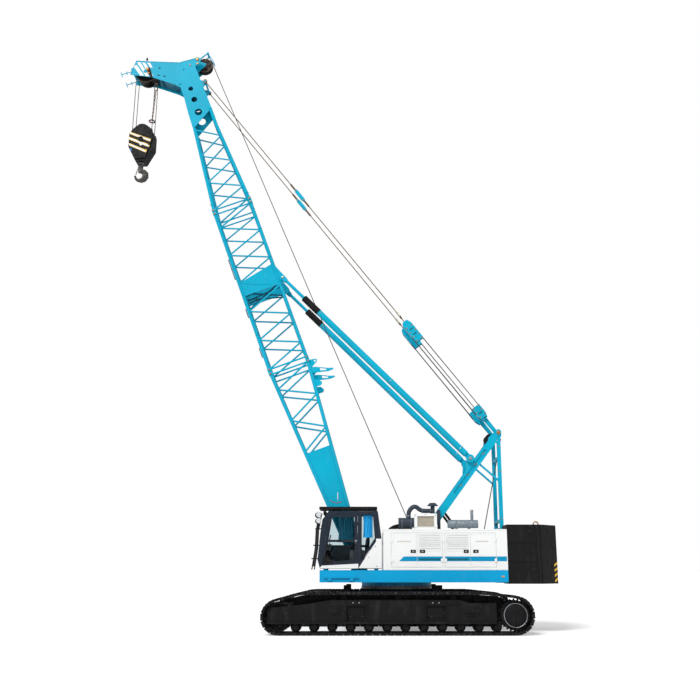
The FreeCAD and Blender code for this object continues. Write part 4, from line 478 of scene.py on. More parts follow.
PADS_X = (-1.24, 1.075)
for word, side in SIDES:
    out, track, side_frame = Y * side, f"track_{word}", f"track_frame_{word}"
    with Piece(f"shoe_ribs_{word}", TRACK, LOWER, 0.002) as bm:
        for middle, n, run in shoe_faces(track):
            turn = Matrix((run, Y, n)).transposed().to_4x4()
            if n.z > -0.6:
                for offset in (-0.06, 0.06):
                    place = Matrix.Translation(middle + run * offset + n * 0.001) @ turn
                    bmesh.ops.create_cube(bm, size=1, matrix=place @ Matrix.Diagonal((0.018, 0.80, 0.012, 1)))
            for offset in (-0.055, 0.055):
                centre = middle - n * 0.022 + run * offset
                centre.y = side * 2.5
                pin(centre, out, -0.002, 0.006, 0.011, 8)
    with Piece(f"roller_bolts_{word}", TRACK, LOWER):
        for k in range(12):
            for place in round_about(at(-2.99 + 5.835 * k / 11, 0, 0.225), 0.062, 5, 0.3):
                bolt(skin(side_frame, place, side), out, 0.011, 0.012)
    with Piece(f"final_drive_{word}", FRAME_STEEL, LOWER, 0.004):
        face = skin(f"sprocket_{word}", at(3.38, 0, 0.55), side)
        lathe(face, out, [(0.30, -0.01), (0.30, 0.012), (0.27, 0.026), (0.13, 0.034), (0.12, 0.024)], 32)
        for place in round_about(face + out * 0.026, 0.235, 12):
            bolt(place, out, 0.013, 0.012)
    with Piece(f"drive_rim_{word}", GALVANISED, LOWER, slot="track_dark"):
        torus(face + out * 0.004, Y, 0.335, 0.011, 40)
    with Piece(f"frame_fittings_{word}", GALVANISED, LOWER, slot="track_dark"):
        for x, offset in product(PADS_X, (-0.09, 0.09)):
            bolt(skin(side_frame, at(x + offset, 0, 0.90), side), out, 0.014)
    with Piece(f"slide_beam_{word}", FRAME_STEEL, LOWER):
        # the beam on the frame's back that the upper run slides over
        middle = middle_of(side_frame).y
        over, under = [], []
        for k in range(75):
            x = -3.15 + 0.08 * k
            roof = probe(track, at(x, middle, 0.75), Z)
            base = probe(side_frame, at(x, middle, 2.0), -Z)
            if roof and base and roof.z - base.z > 0.02:
                over.append((SLEW_X + x, roof.z - 0.012))
                under.append((SLEW_X + x, min(base.z, roof.z - 0.03) - 0.02))
        plate(under + over[::-1], middle - 0.05, middle + 0.05)
        for (x, z), (_, z0) in list(zip(over, under))[:-1:5]:
            slab((x - 0.008, middle - 0.20, z0), (x + 0.008, middle + 0.20, max(z - 0.03, z0 + 0.01)))
    with Piece(f"frame_marks_{word}", TRACK, LOWER, 0.002):
        # the pads, slots and welded edges on the frame's outer face
        for x in PADS_X:
            for x0, x1, z0, z1 in ((-0.24, -0.22, 0.52, 0.98), (0.22, 0.24, 0.52, 0.98),
                                   (-0.24, 0.24, 0.51, 0.53)):
                y = skin(side_frame, at(x + (x0 + x1) / 2, 0, 0.75), side).y
                slab(at(x + x0, y - side * 0.002, z0), at(x + x1, y + side * 0.016, z1))
        for x, z, run in ((-1.62, 0.74, Vector((0.25, 0, 1))), (2.36, 0.80, Vector((-0.3, 0, 1))),
                          (-3.28, 0.60, X), (2.0, 0.62, X), (1.55, 0.86, X)):
            a = skin(side_frame, at(x, 0, z), side)
            sweep([a - run * 0.09, a + run * 0.09], 0.013)
    with Piece(f"frame_steps_{word}", FRAME_STEEL, LOWER, 0.003):
        for x, z in product((-1.86, 2.2), (0.62, 0.80)):
            ends = [skin(side_frame, at(x + end, 0, z), side) for end in (-0.13, 0.13)]
            for p in ends:
                pin(p, out, -0.01, 0.05, 0.011, 8)
            rod(*(p + out * 0.045 for p in ends), 0.012, 8)

with Piece("ring_teeth", GALVANISED, LOWER, slot="track_dark"):
    for p in circle(at(0, 0, 1.26), Z, 1.106, 110):
        pin(p, Z, 0, 0.078, 0.013, 6)
with Piece("ring_bolts", GALVANISED, UPPER, slot="frame_blue"):
    for p in circle(at(0, 0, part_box("revolving_frame")[0][2]), Z, 1.16, 48):
        if abs(p.x - SLEW_X) < 1.0:
            bolt(p, -Z, 0.016)

# ---- machinery house
house_low, house_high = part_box("house_left")
STRIPE_Z = (2.08, 2.22)
LATCHES_X = ((0.39, 0.55), (0.67, 0.83), (2.00, 2.15), (2.29, 2.45))
ROOF_SEAMS_X = (0.0, 0.62, 1.41, 2.22, 3.05)
for word, side in SIDES:
    y = side * FLANK_Y
    for k in (1, 2, 3, 4):
        door, tag, inner = f"house_door_{word}_{k}", f"{word}_{k}", k in (2, 3)
        a, b = (p[0] - SLEW_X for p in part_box(door))
        a, b = (a + 0.020, b - 0.003) if k % 2 else (a + 0.003, b - 0.020)
        with Piece(f"stripe_{tag}", STRIPE, door):
            low, high = STRIPE_Z
            on_face([(max(a, 0.04), low), (b, low), (b, high), (max(a, 0.18), high)], side)
        with Piece(f"door_press_{tag}", WHITE, door):
            for z0, z1 in ((1.935, 2.05), (2.25, 2.31) if inner else (2.26, 2.88)):
                hoop(rect(a + 0.07, b - 0.07, z0, z1), y, 0.004)
        x0, x1 = LATCHES_X[k - 1]
        mid = (x0 + x1) / 2
        with Piece(f"latch_{tag}", BLACK, door, 0.004):
            on_face(rect(x0, x1, 2.322, 2.418), side, 0.007)
        with Piece(f"latch_paddle_{tag}", GALVANISED, door, 0.003):
            on_face(rect(mid - 0.028, mid + 0.028, 2.345, 2.395), side, 0.0095)
        if inner:
            with Piece(f"louvres_{tag}", WHITE, door):
                for n in range(10):
                    z = 2.47 + 0.047 * n
                    sweep([at(a + 0.07, y, z), at(b - 0.07, y, z)], 0.0065, 6)
            # a dark plate across the step: painted shade of the door's recess
            with Piece(f"step_recess_{tag}", SHADED_BLUE, door):
                on_face(rect(a + 0.06, b - 0.06, 2.105, 2.165), side, 0.0045)
        else:
            with Piece(f"vent_{tag}", BEIGE, door):
                x0, x1 = (-0.02, 0.40) if k == 1 else (2.37, 2.75)
                for z in (2.655, 2.675):
                    rod(at(x0, y + side * 0.001, z), at(x1, y + side * 0.001, z), 0.005, 6)
        with Piece(f"door_seal_{tag}", RUBBER, door):
            hoop(rect(a - 0.001, b + 0.001, 1.908, 2.912), y - side * 0.04, 0.003)
    with Piece(f"stripe_{word}_tail", STRIPE, UPPER):
        on_face(rect(3.0, 3.30, *STRIPE_Z), side)
    with Piece(f"house_trim_{word}", WHITE, UPPER, 0.003):
        for z0, z1, proud in ((2.995, 3.026, 0.006), (1.835, 1.865, 0.005)):
            on_face(rect(house_low[0] + 0.002, house_high[0] - 0.002, z0, z1), side, proud, origin=0)
        for x in ROOF_SEAMS_X:
            slab(at(x - 0.02, side * 0.80, 3.029), at(x + 0.02, side * 1.63, 3.036))
    with Piece(f"roof_bolts_{word}", GALVANISED, UPPER):
        for x, across in product(ROOF_SEAMS_X, (0.90, 1.20, 1.55)):
            if side > 0 or not (0.05 < x < 2.6 and across < 1.5):
                bolt(at(x, side * across, 3.036), Z, 0.012, 0.010)

with Piece("rail_lamps", AMBER, UPPER, 0.004, "frame_blue"):
    for side in (-1, 1):
        slab(at(3.12, side * 1.648, 1.615), at(3.21, side * 1.660, 1.650))
with Piece("rail_welds", BLUE, UPPER):
    for side in (-1, 1):
        y, low, high = side * FLANK_Y, 1.475, 1.806
        for z in (low, high):
            rod(at(-2.34, y, z), at(3.30, y, z), 0.007, 6)
        for x in (-1.19, 0.6, 2.4):
            rod(at(x, y, low), at(x, y, high), 0.004, 6)

# ---- roof fittings
intake_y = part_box("intake_box")[0][1]
with Piece("intake_louvres", BEIGE, UPPER, 0.002):
    for k in range(16):
        x = 0.625 + 0.5 * (k + 0.5) / 16 + SLEW_X
        plate([(x - 0.013, intake_y + 0.045), (x + 0.006, intake_y + 0.020), (x + 0.012, intake_y + 0.024),
                   (x - 0.007, intake_y + 0.050)], 3.115, 3.425, "Z")
with Piece("intake_frame", WHITE, UPPER, 0.004):
    for x0, x1, z0, z1 in ((0.60, 1.15, 3.09, 3.11), (0.60, 1.15, 3.43, 3.45), (0.60, 0.62, 3.09, 3.45),
                           (1.13, 1.15, 3.09, 3.45)):
        slab(at(x0, intake_y - 0.008, z0), at(x1, intake_y + 0.002, z1))
with Piece("intake_bolts", GALVANISED, UPPER):
    for x, z in ((0.565, 3.08), (0.565, 3.46), (1.185, 3.08), (1.185, 3.46), (0.87, 3.48)):
        bolt(at(x, intake_y, z), -Y, 0.010, 0.009)
with Piece("hose_clamps", GALVANISED, UPPER):
    for x, z, axis, radius, count in ((0.37, 3.47, Z, 0.070, 28), (0.80, 3.625, X, 0.070, 28),
                                      (1.06, 3.625, X, 0.070, 28), (0.16, 3.26, X, 0.152, 36),
                                      (0.44, 3.26, X, 0.152, 36)):
        torus(at(x, -0.94, z), axis, radius, 0.007, count)
with Piece("muffler_straps", STEEL, UPPER):
    for x in (1.84, 2.24):
        torus(at(x, -1.10, 3.21), X, 0.128, 0.008, 36)
    torus(at(2.34, -1.10, 3.62), Z, 0.045, 0.006)
with Piece("valve_fitting", BRASS, UPPER, 0.004):
    valve = at(0.30, -0.80, 3.03)
    pin(valve, Z, 0, 0.08, 0.045)
    pin(valve, Z, 0.08, 0.12, 0.030, 6)
    pin(valve + Z * 0.045, X, -0.08, 0.10, 0.020, 10)

# ---- winch
drum = at(0.12, 0, 2.69)
with Piece("drum_rope", ROPE_BROWN, UPPER):
    steps = 27 * 4
    wound = [(0.505 + 0.010 * math.cos(math.pi * k / 2), -0.385 + 0.77 * k / steps) for k in range(steps + 1)]
    lathe(drum, Y, [(0.40, -0.385), *wound, (0.40, 0.385)], 56)
with Piece("drum_bolts", GALVANISED, UPPER):
    for side in (-1, 1):
        for p in circle(drum + Y * side * 0.430, Y, 0.30, 10):
            bolt(p, Y * side)

# ---- counterweight
for word, side in SIDES:
    y, out = side * WEIGHT_Y, Y * side
    with Piece(f"weight_seams_{word}", FRAME_STEEL, UPPER, 0.003, "black_paint"):
        for z0, z1 in ((1.44, 2.04), (2.08, 2.60), (2.64, 3.15)):
            for x in (4.27, 4.35):
                slab(at(x - 0.012, y - side * 0.002, z0), at(x + 0.012, y + side * 0.009, z1))
            hoop(rect(3.36, 4.22, z0, z1), y, 0.007)
    with Piece(f"weight_lugs_{word}", BLACK, UPPER, 0.003):
        for x, z in ((4.08, 2.92), (4.12, 2.36), (4.11, 1.81)):
            lathe(at(x, y, z), out, [(0.075, -0.002), (0.075, 0.012), (0.060, 0.022)], 24)
    with Piece(f"weight_cable_{word}", RUBBER, UPPER):
        # the lead that runs down the slabs to the rear lamp
        line = [at(4.24 + 0.05 * math.sin(2.2 * t) + 0.008 * math.sin(9 * t), y + side * 0.012,
                   3.16 - 1.72 * t) for t in (k / 9 for k in range(10))]
        sweep(rounded(line, 2), 0.011)
    with Piece(f"weight_ring_{word}", BRASS, UPPER, slot="black_paint"):
        torus(at(4.30, side * 1.20, 3.20), Y, 0.075, 0.020, 24, 8)
        slab(at(4.22, side * 1.14, 3.165), at(4.38, side * 1.26, 3.185))
with Piece("weight_marks", YELLOW, UPPER):
    # slanted bars down the rear end of both cut corners of the lowest slab
    for side in (-1, 1):
        start, end = at(4.38, side * WEIGHT_Y, 0), at(4.94, side * 1.06, 0)
        run, out = (end - start).normalized(), Vector((1, side, 0)).normalized()
        for k in range(4):
            z = 1.46 + 0.155 * k
            corners = ((-0.17, z), (-0.005, z + 0.075), (-0.005, z + 0.145), (-0.17, z + 0.07))
            hull([[end + run * s + Z * h + out * off for s, h in corners] for off in (-0.001, 0.002)])

# ---- cab
CAB_Y = -FLANK_Y
WINDOWS = {"upper": [(-2.125, 2.71), (-1.31, 2.71), (-1.31, 3.395), (-1.97, 3.395), (-2.04, 3.30)],
           "lower": [(-2.205, 2.13), (-1.86, 2.07), (-1.31, 2.12), (-1.31, 2.65), (-2.14, 2.65)],
           "quarter": [(-1.11, 2.13), (-0.68, 2.77), (-0.74, 3.46), (-1.11, 3.46)]}


def cab_plate(outline, proud=0.004):
    """A thin plate on the cab's near side."""
    on_face(outline, -1, proud)


def seal(window, y=CAB_Y):
    """Rubber round a window."""
    outline = WINDOWS[window]
    centre = [sum(values) / len(outline) for values in zip(*outline)]
    hoop([[c + (v - c) * 1.012 for c, v in zip(centre, p)] for p in outline], y, 0.012)


with Piece("cab_rear_panel", WHITE, UPPER, 0.002):
    cab_plate([(-1.185, 1.875), (-0.495, 1.875), (-0.495, 2.745), (-0.655, 2.745), (-0.655, 2.66),
                   (-1.085, 2.03)])
with Piece("cab_sill", WHITE, UPPER, 0.002):
    cab_plate([(-2.36, 1.868), (-1.195, 1.868), (-1.195, 2.008), (-2.30, 1.950)])
with Piece("cab_panel_recess", WHITE, UPPER):
    # the pressed oval in the white panel
    hoop([(-0.86 + 0.075 * math.cos(a) + 0.10 * math.sin(a), 2.28 + 0.16 * math.sin(a)) for a in turns(28)],
         CAB_Y - 0.004, 0.0055)
with Piece("cab_panel_bolts", RUBBER, UPPER, slot="bare_steel"):
    for x, z in ((-0.67, 2.52), (-0.87, 2.19), (-0.63, 1.93)):
        bolt(at(x, CAB_Y - 0.004, z), -Y, 0.010, 0.008)
with Piece("door_seals", RUBBER, "cab_door"):
    seal("upper")
    seal("lower")
with Piece("quarter_seals", RUBBER, UPPER):
    seal("quarter")
    seal("quarter", -0.715)
with Piece("door_corner", BLACK, "cab_door", 0.002):
    cab_plate([(-2.272, 2.00), (-1.93, 2.02), (-2.10, 2.22), (-2.24, 2.24)])
with Piece("door_handle", GALVANISED, "cab_door", 0.003):
    cab_plate(rect(-1.300, -1.235, 2.655, 2.705), 0.008)
    handle = at(-1.268, CAB_Y, 2.68)
    pin(handle, -Y, 0.005, 0.024, 0.009, 10)
    pin(handle - Y * 0.022, Z, -0.08, 0.01, 0.008, 8)
with Piece("window_rail", CHARCOAL, "cab_door", 0.002):
    slab(at(-1.735, -1.612, 2.72), at(-1.715, -1.600, 3.39))
with Piece("wiper", RUBBER, UPPER):
    rod(at(-2.395, -1.20, 2.30), at(-2.365, -1.36, 2.92), 0.008, 8)
    rod(at(-2.392, -1.42, 2.62), at(-2.340, -1.30, 3.18), 0.006, 6)
with Piece("cab_lamps", BLACK, UPPER, 0.006):
    for y in (-1.50, -0.90):
        rod(at(-2.19, y, 3.525), at(-2.27, y, 3.515), 0.055, 20, 0.065)
        slab(at(-2.24, y - 0.012, 3.545), at(-2.20, y + 0.012, 3.60))
with Piece("cab_lamp_lenses", LENS, UPPER):
    for y in (-1.50, -0.90):
        rod(at(-2.268, y, 3.515), at(-2.276, y, 3.514), 0.058, 20)
with Piece("rail_infill", RUBBER, UPPER, 0.003):
    # the strip that fills the space between the two grab rails
    rail_y = CAB_Y + 0.06
    front, rear = [], []
    for k in range(16):
        z = 1.93 + 0.095 * k
        a = probe("cab_rails", at(-3.2, rail_y, z), X)
        b = probe("cab_rails", at(-2.36 + 0.02 * k / 15, rail_y, z), -X)
        if a and b and 0.08 < b.x - a.x < 0.25:
            front.append((a.x + 0.010, z))
            rear.append((b.x - 0.010, z))
    plate(front + rear[::-1], rail_y - 0.012, rail_y + 0.012)
rail_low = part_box("cab_rails")[0]
mirrors = [Vector((rail_low[0] + 0.210, rail_low[1], z)) for z in (3.46, 3.28)]
with Piece("mirror_rims", GALVANISED, UPPER, slot="glass"):
    for place in mirrors:
        torus(place, Y, 0.078, 0.006, 32)
with Piece("mirror_glass", LENS, UPPER):
    for place in mirrors:
        lathe(place, -Y, [(0.070, -0.001), (0.070, 0.002), (0.042, 0.006), (0.014, 0.008)], 32)

FLOOR_Z = 1.914
seat_low, seat_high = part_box("cab_seat")
seat_tall = seat_high[2] - seat_low[2]


def seat_at(x, y, z):
    """A point measured from the middle of the seat's foot."""
    middle = middle_of("cab_seat")
    return Vector((middle.x + x, middle.y + y, seat_low[2] + z))


def pad(name, reach, rise, wide, crown, lean=0.0, fold=0.0, across=0.0):
    """An upholstered form over stretches of x and z: crowned faces, sides drawn in, stitched channels."""
    low, high = (seat_at(x, across + y, z) for x, y, z in zip(reach, (-wide, wide), rise))
    centre, half = (low + high) / 2, (high - low) / 2
    turn = Matrix.Rotation(lean, 4, "Y")
    flat = half.z < half.x
    with Piece(name, SEAT, UPPER) as bm:
        bmesh.ops.create_cube(bm, size=2)
        bmesh.ops.subdivide_edges(bm, edges=bm.edges, cuts=9, use_grid_fill=True)
        for v in bm.verts:
            x, y, z = v.co
            p = Vector((x * half.x * (1 - 0.16 * max(abs(y), abs(z)) ** 6),
                        y * half.y * (1 - 0.10 * max(abs(x), abs(z)) ** 6),
                        z * half.z * (1 - 0.16 * max(abs(x), abs(y)) ** 6)))
            channel = fold * math.exp(-((abs(y) - 0.42) / 0.07) ** 2)
            swell = crown * (1 - (x if flat else z) ** 2) * (1 - y * y) - channel
            p += Z * swell * z if flat else X * swell * x
            v.co = centre + (turn @ p)
    soft = made[name].modifiers.new("soft", "SUBSURF")
    soft.levels = soft.render_levels = 1
    return centre, half, turn


def piping(name, centre, half, turn, thin):
    """The seam's cord round a pad's middle."""
    with Piece(name, GREY_TRIM, UPPER):
        ring = []
        for a in turns(48):
            u, v = (math.copysign(abs(f) ** 0.35, f) * 0.975 for f in (math.cos(a), math.sin(a)))
            p = Vector((u * half.x, v * half.y, 0)) if thin == "Z" else Vector((0, u * half.y, v * half.z))
            ring.append(centre + (turn @ p))
        sweep(ring, 0.005, 6, closed=True)


lean = math.radians(6)
piping("cushion_piping", *pad("seat_cushion", (-0.25, 0.22), (0.335, 0.455), 0.235, 0.018, 0.0, 0.010), "Z")
piping("back_piping", *pad("seat_back", (0.13, 0.235), (0.44, seat_tall - 0.20), 0.225, 0.016, lean, 0.010),
       "X")
pad("seat_head", (0.17, 0.26), (seat_tall - 0.19, seat_tall - 0.01), 0.13, 0.012, lean)
for word, y in (("near", -0.245), ("far", 0.245)):
    pad(f"arm_rest_{word}", (-0.16, 0.15), (0.60, 0.655), 0.03, 0.006, across=y)
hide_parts("cab_seat")
with Piece("seat_frame", BLACK, UPPER, 0.006):
    slab(seat_at(-0.20, -0.19, 0), seat_at(0.22, 0.19, 0.05))
    slab(seat_at(-0.22, -0.21, 0.28), seat_at(0.20, 0.21, 0.335))
    for side in (-1, 1):
        for x0, x1, y, z0, z1 in ((-0.18, 0.16, 0.16, 0.05, 0.28), (0.16, -0.18, 0.16, 0.05, 0.28),
                                  (0.12, 0.12, 0.245, 0.40, 0.60)):
            rod(seat_at(x0, side * y, z0), seat_at(x1, side * y, z1), 0.014, 8)
        y = side * 0.07
        rod(seat_at(0.20, y, seat_tall - 0.30), seat_at(0.215, y, seat_tall - 0.10), 0.008, 8)
with Piece("seat_bellows", RUBBER, UPPER):
    lathe(seat_at(0, 0, 0), Z, [(0.13 + 0.02 * (k % 2), 0.045 + 0.235 * k / 16) for k in range(17)], 28)


def desk_at(x, y, z):
    """A point measured from the floor under the seat."""
    place = seat_at(x, y, 0)
    place.z = FLOOR_Z + z
    return place


with Piece("console", GREY_TRIM, UPPER, 0.012, "cab_charcoal"):
    for side in (-1, 1):
        y = side * 0.335
        slab(desk_at(-0.34, y - 0.055, 0.02), desk_at(0.10, y + 0.055, 0.50))
    plate_at([(-2.23, 2.40), (-2.05, 2.40), (-1.99, 2.54), (-2.04, 2.60), (-2.24, 2.56)], -1.50, -0.86)
with Piece("console_post", BLACK, UPPER, 0.008):
    plate_at([(-2.24, 1.915), (-2.10, 1.915), (-2.12, 2.41), (-2.22, 2.41)], -1.30, -1.06)
with Piece("monitor", BLACK, UPPER, 0.006):
    rod(at(-2.09, -1.40, 2.58), at(-2.07, -1.40, 2.70), 0.012, 8)
    plate_at([(-2.10, 2.69), (-2.07, 2.68), (-2.03, 2.86), (-2.06, 2.87)], -1.50, -1.31)
with Piece("monitor_screen", SCREEN, UPPER):
    plate_at([(-2.0665, 2.70), (-2.0645, 2.70), (-2.0315, 2.845), (-2.0335, 2.845)], -1.485, -1.325)
KNOB = [(0.010, 0.0), (0.022, 0.015), (0.025, 0.045), (0.015, 0.07), (0.004, 0.075)]
BOOT = [(0.04, 0.0), (0.036, 0.012), (0.024, 0.020), (0.026, 0.028), (0.012, 0.04)]
with Piece("levers", BLACK, UPPER):
    for side, x in product((-1, 1), (-0.30, -0.21)):
        foot = desk_at(x, side * 0.335, 0.49)
        knob = foot + Vector((-0.03, 0, 0.14))
        rod(foot, knob, 0.008, 8)
        lathe(knob - Z * 0.01, Z, KNOB, 14)
        lathe(foot - Z * 0.005, Z, BOOT, 14)
    for y in (-1.32, -1.04):
        slab(at(-2.07, y - 0.045, 1.955), at(-1.95, y + 0.045, 1.975))
        rod(at(-2.02, y, 1.97), at(-2.07, y, 2.34), 0.010, 8)
with Piece("cab_mat", RUBBER, UPPER, 0.004):
    slab(at(-2.16, -1.58, 1.911), at(-0.60, -0.79, 1.921))
    for k in range(16):
        y = -1.56 + 0.05 * k
        slab(at(-2.15, y, 1.920), at(-1.62, y + 0.02, 1.925))

ROD_Z = 3.475


def curtain(name, look, x0, x1, z0, z1, y, folds):
    """A gathered curtain on its rod: folds that tighten towards the hem and never repeat exactly."""
    columns, rows = folds * 12, 24
    with Piece(name, look, UPPER) as bm:
        grid = []
        for t in (r / rows for r in range(rows + 1)):
            row = []
            for s in (c / columns for c in range(columns + 1)):
                wave = 2 * math.pi * folds * s + 0.5 * math.sin(5.1 * s + 1.3)
                draw = 1 - 0.10 * math.sin(math.pi * t) * (0.5 + 0.5 * math.sin(3 * s))
                x = x0 + (x1 - x0) * (0.5 + (s - 0.5) * draw) + 0.006 * math.sin(wave * 0.5 + 3 * t)
                swing = 0.016 * (0.75 + 0.25 * t) * (0.85 + 0.15 * math.sin(7 * s + 2))
                row.append(bm.verts.new(at(x, y + swing * math.sin(wave) + 0.004 * math.sin(9 * t + 4 * s),
                                           z1 + (z0 - z1) * t + 0.004 * math.sin(11 * s) * t)))
            grid.append(row)
        for (upper, lower), c in product(zip(grid, grid[1:]), range(columns)):
            bm.faces.new((upper[c], upper[c + 1], lower[c + 1], lower[c]))
    made[name].modifiers.new("cloth", "SOLIDIFY").thickness = 0.0015


for name, x0, x1, y in (("near_curtain", -1.06, -0.74, -1.565), ("far_curtain", -1.86, -1.32, -0.795)):
    with Piece(name + "_rod", GALVANISED, UPPER):
        rod(at(x0 - 0.03, y, ROD_Z), at(x1 + 0.03, y, ROD_Z), 0.006, 8)
        for k in range(8):
            torus(at(x0 + (x1 - x0) * (k + 0.5) / 8, y, ROD_Z - 0.005), X, 0.012, 0.002, 14, 5)
curtain("near_curtain", CURTAIN, -1.05, -0.76, 2.78, 3.462, -1.565, 6)
curtain("far_curtain", TEAL, -1.84, -1.34, 2.66, 3.462, -0.795, 9)

# ---- boom
with Piece("joint_pins", BRASS, BOOM, 0.003):
    for along, back, side in product((6.77, 6.91, 12.87, 13.01), (-CHORD, CHORD), (-1, 1)):
        p, out = boom(back, along, side * CHORD), Y * side
        pin(p, out, -0.05, 0.022, 0.028, 16)
        pin(p + out * 0.012, BACK, -0.034, 0.034, 0.005, 6)
with Piece("foot_pin_caps", GALVANISED, UPPER, 0.003):
    for side in (-1, 1):
        p, out = Vector((FOOT.x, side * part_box("boom_foot_brackets")[1][1], FOOT.z)), Y * side
        pin(p, out, -0.01, 0.02, 0.062, 24)
        for place in round_about(p + out * 0.018, 0.035, 3):
            bolt(place, out, 0.010, 0.010)
with Piece("chord_welds", CYAN, BOOM):
    # the beads round the chords where the end frames and braces meet them
    for along, back, side in product((7.15, 8.2, 9.35, 10.7, 11.8, 12.6, 13.25), (-CHORD, CHORD), (-1, 1)):
        torus(boom(back, along, side * 0.59), ALONG, 0.058, 0.006, 20, 5)
with Piece("walkway_tubes", SHADED_BLUE, BOOM):
    # the tubes and rails inside the lattice under the middle plates, dark as painted shade of the lattice's inside
    for start, end, radius in (((-0.60, 9.85, -0.35), (0.62, 9.55, 0.35), 0.030),
                               ((-0.60, 9.50, 0.40), (0.62, 9.85, -0.20), 0.026),
                               ((-0.58, 9.62, -0.10), (0.62, 9.62, -0.40), 0.030),
                               ((-0.60, 9.75, 0.10), (0.62, 9.40, 0.10), 0.026),
                               ((-0.60, 9.95, 0.35), (0.62, 9.95, -0.35), 0.022),
                               ((-0.60, 9.40, -0.45), (0.20, 9.75, 0.45), 0.030)):
        rod(boom(*start), boom(*end), radius, 10)
with Piece("chord_conduits", SHADED_BLUE, BOOM):
    # lengths of pipe and grab bars along the front of the near chords
    for reach in ((7.40, 7.74), (8.88, 9.20), (10.33, 11.10)):
        a, b = (boom(-0.735, along, -0.575) for along in reach)
        rod(a, b, 0.016, 8)
        for p in (a, b):
            pin(p, BACK, 0, 0.06, 0.010, 6)


def on_base(back, along):
    """A place of the boom moved onto its base section's near face."""
    return skin("boom_base", boom(back, along), -1)


with Piece("angle_arc", RED, BOOM):
    angles = (math.radians(200 + 85 * k / 12) for k in range(13))
    sweep([on_base(0.09 + 0.30 * math.cos(a), 2.31 + 0.30 * math.sin(a)) - Y * 0.001 for a in angles],
          0.009, 6)
with Piece("angle_pointer", STRIPE_WHITE, BOOM):
    rod(on_base(0.12, 2.33) - Y * 0.004, on_base(0.035, 2.10) - Y * 0.004, 0.016, 8, 0.010)

HEAD_STRIPES = (((-1.70, 19.66), (-1.57, 19.66), (-1.44, 19.14), (-1.57, 19.18)),
                ((-1.53, 19.77), (-1.41, 19.72), (-1.27, 19.05), (-1.39, 19.09)),
                ((-1.36, 19.70), (-1.25, 19.64), (-1.13, 19.02), (-1.24, 19.03)),
                ((-1.19, 19.62), (-1.08, 19.57), (-1.05, 19.35), (-1.13, 19.38)))
with Piece("head_stripes", STRIPE_WHITE, BOOM):
    for side, corners in product((-1, 1), HEAD_STRIPES):
        boom_plate(corners, side * (HEAD_Y - 0.001), side * (HEAD_Y + 0.0025))
with Piece("head_edges", CYAN, BOOM):
    # the flange that stiffens the head plates' upper edge
    edge = ((-1.90, 19.36), (-1.53, 19.83), (-1.03, 19.61), (-0.07, 19.21), (0.46, 19.18), (0.65, 19.18))
    for side in (-1, 1):
        sweep([boom(b, a, side * HEAD_Y) for b, a in edge], 0.011, 6)
with Piece("head_diaphragm", SHADED_BLUE, BOOM, 0.003):
    # the web between the head's side plates, seen through their holes; dark as painted shade of the head's inside
    for corners in (((-0.15, 18.45), (0.33, 18.40), (0.33, 17.72), (-0.12, 17.62)),
                    ((-0.14, 17.46), (0.30, 17.46), (0.30, 17.24), (-0.14, 17.30))):
        boom_plate(corners, -0.010, 0.010)
with Piece("head_liner", SHADED_BLUE, BOOM, 0.003):
    # the stiffeners inside the head, seen from below; dark as painted shade of the head's inside
    for side in (-1, 1):
        boom_plate(((-0.42, 18.44), (-1.10, 19.00), (-1.10, 19.32), (-0.28, 18.90)),
                   side * 0.302, side * 0.312)
with Piece("head_bolts", BRASS, BOOM):
    for side in (-1, 1):
        for b, a, r in ((0.60, 19.10, 0.045), (0.56, 18.93, 0.030), (0.28, 18.97, 0.022)):
            lathe(boom(b, a, side * (HEAD_Y - 0.002)), Y * side,
                  [(r * 1.3, 0.0), (r * 1.3, 0.012), (r, 0.014), (r * 0.8, 0.034)], 18)
with Piece("head_pin_caps", CYAN, BOOM, 0.002):
    for side in (-1, 1):
        for b, a, r in ((-1.35, 19.30, 0.062), (-0.30, 18.36, 0.050), (0.0, 18.90, 0.045)):
            p = boom(b, a, side * HEAD_Y)
            pin(p, Y * side, -0.002, 0.016, r, 24)
            pin(p, Y * side, 0.014, 0.026, r * 0.5, 6)
with Piece("head_slots", BLACK, BOOM):
    # black marks that stand for slots and a hole: painted shade of their openings
    slot_run = (BACK * 0.9 - ALONG * 0.45).normalized()
    for side in (-1, 1):
        for b, a in ((-0.93, 18.97), (-0.75, 18.86)):
            pin(boom(b, a, side * HEAD_Y), slot_run, -0.05, 0.05, 0.014, 8)
        torus(boom(-0.82, 19.24, side * HEAD_Y), Y, 0.030, 0.008, 20)
lamp = boom(-1.24, 19.34, -HEAD_Y)
with Piece("head_lamp", AMBER, BOOM, 0.004):
    pin(lamp, -Y, 0, 0.07, 0.055, 18, 0.045)
    pin(lamp + X * 0.05 - Z * 0.16, -Y, 0, 0.05, 0.030, 14)
with Piece("head_lamp_bracket", BLACK, BOOM, 0.003):
    shape = ((-0.09, -0.05), (0.02, -0.10), (0.12, -0.34), (0.20, -0.32), (0.12, -0.05), (0.06, 0.09))
    plate([(lamp.x + x, lamp.z + z) for x, z in shape], -HEAD_Y - 0.012, -HEAD_Y + 0.001)
    top = boom(-1.17, 19.69, -HEAD_Y + 0.02)
    pin(top, Z, -0.06, 0.06, 0.014, 8)
    pin(top, Z, 0.05, 0.13, 0.040, 12, 0.028)
with Piece("rope_guard", CYAN, BOOM, 0.003):
    for y in (-0.13, 0.13):
        rod(boom(1.05, 19.38, y), boom(1.14, 18.95, y), 0.014, 8)
    rod(boom(1.14, 18.95, -0.15), boom(1.14, 18.95, 0.15), 0.016, 8)

# ---- hook block
block_low, block_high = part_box("hook_block")
block_x = (block_low[0] + block_high[0]) / 2


def block_at(x, z, side, off=0.0):
    """A place on a cheek of the hook block, measured from its middle and its foot."""
    return Vector((block_x + x, side * (CHEEK_Y + off), block_low[2] + z))


def on_cheek(outline, side, proud):
    """A thin plate on a cheek of the hook block."""
    on_face([(x, block_low[2] + z) for x, z in outline], side, proud, CHEEK_Y, block_x)


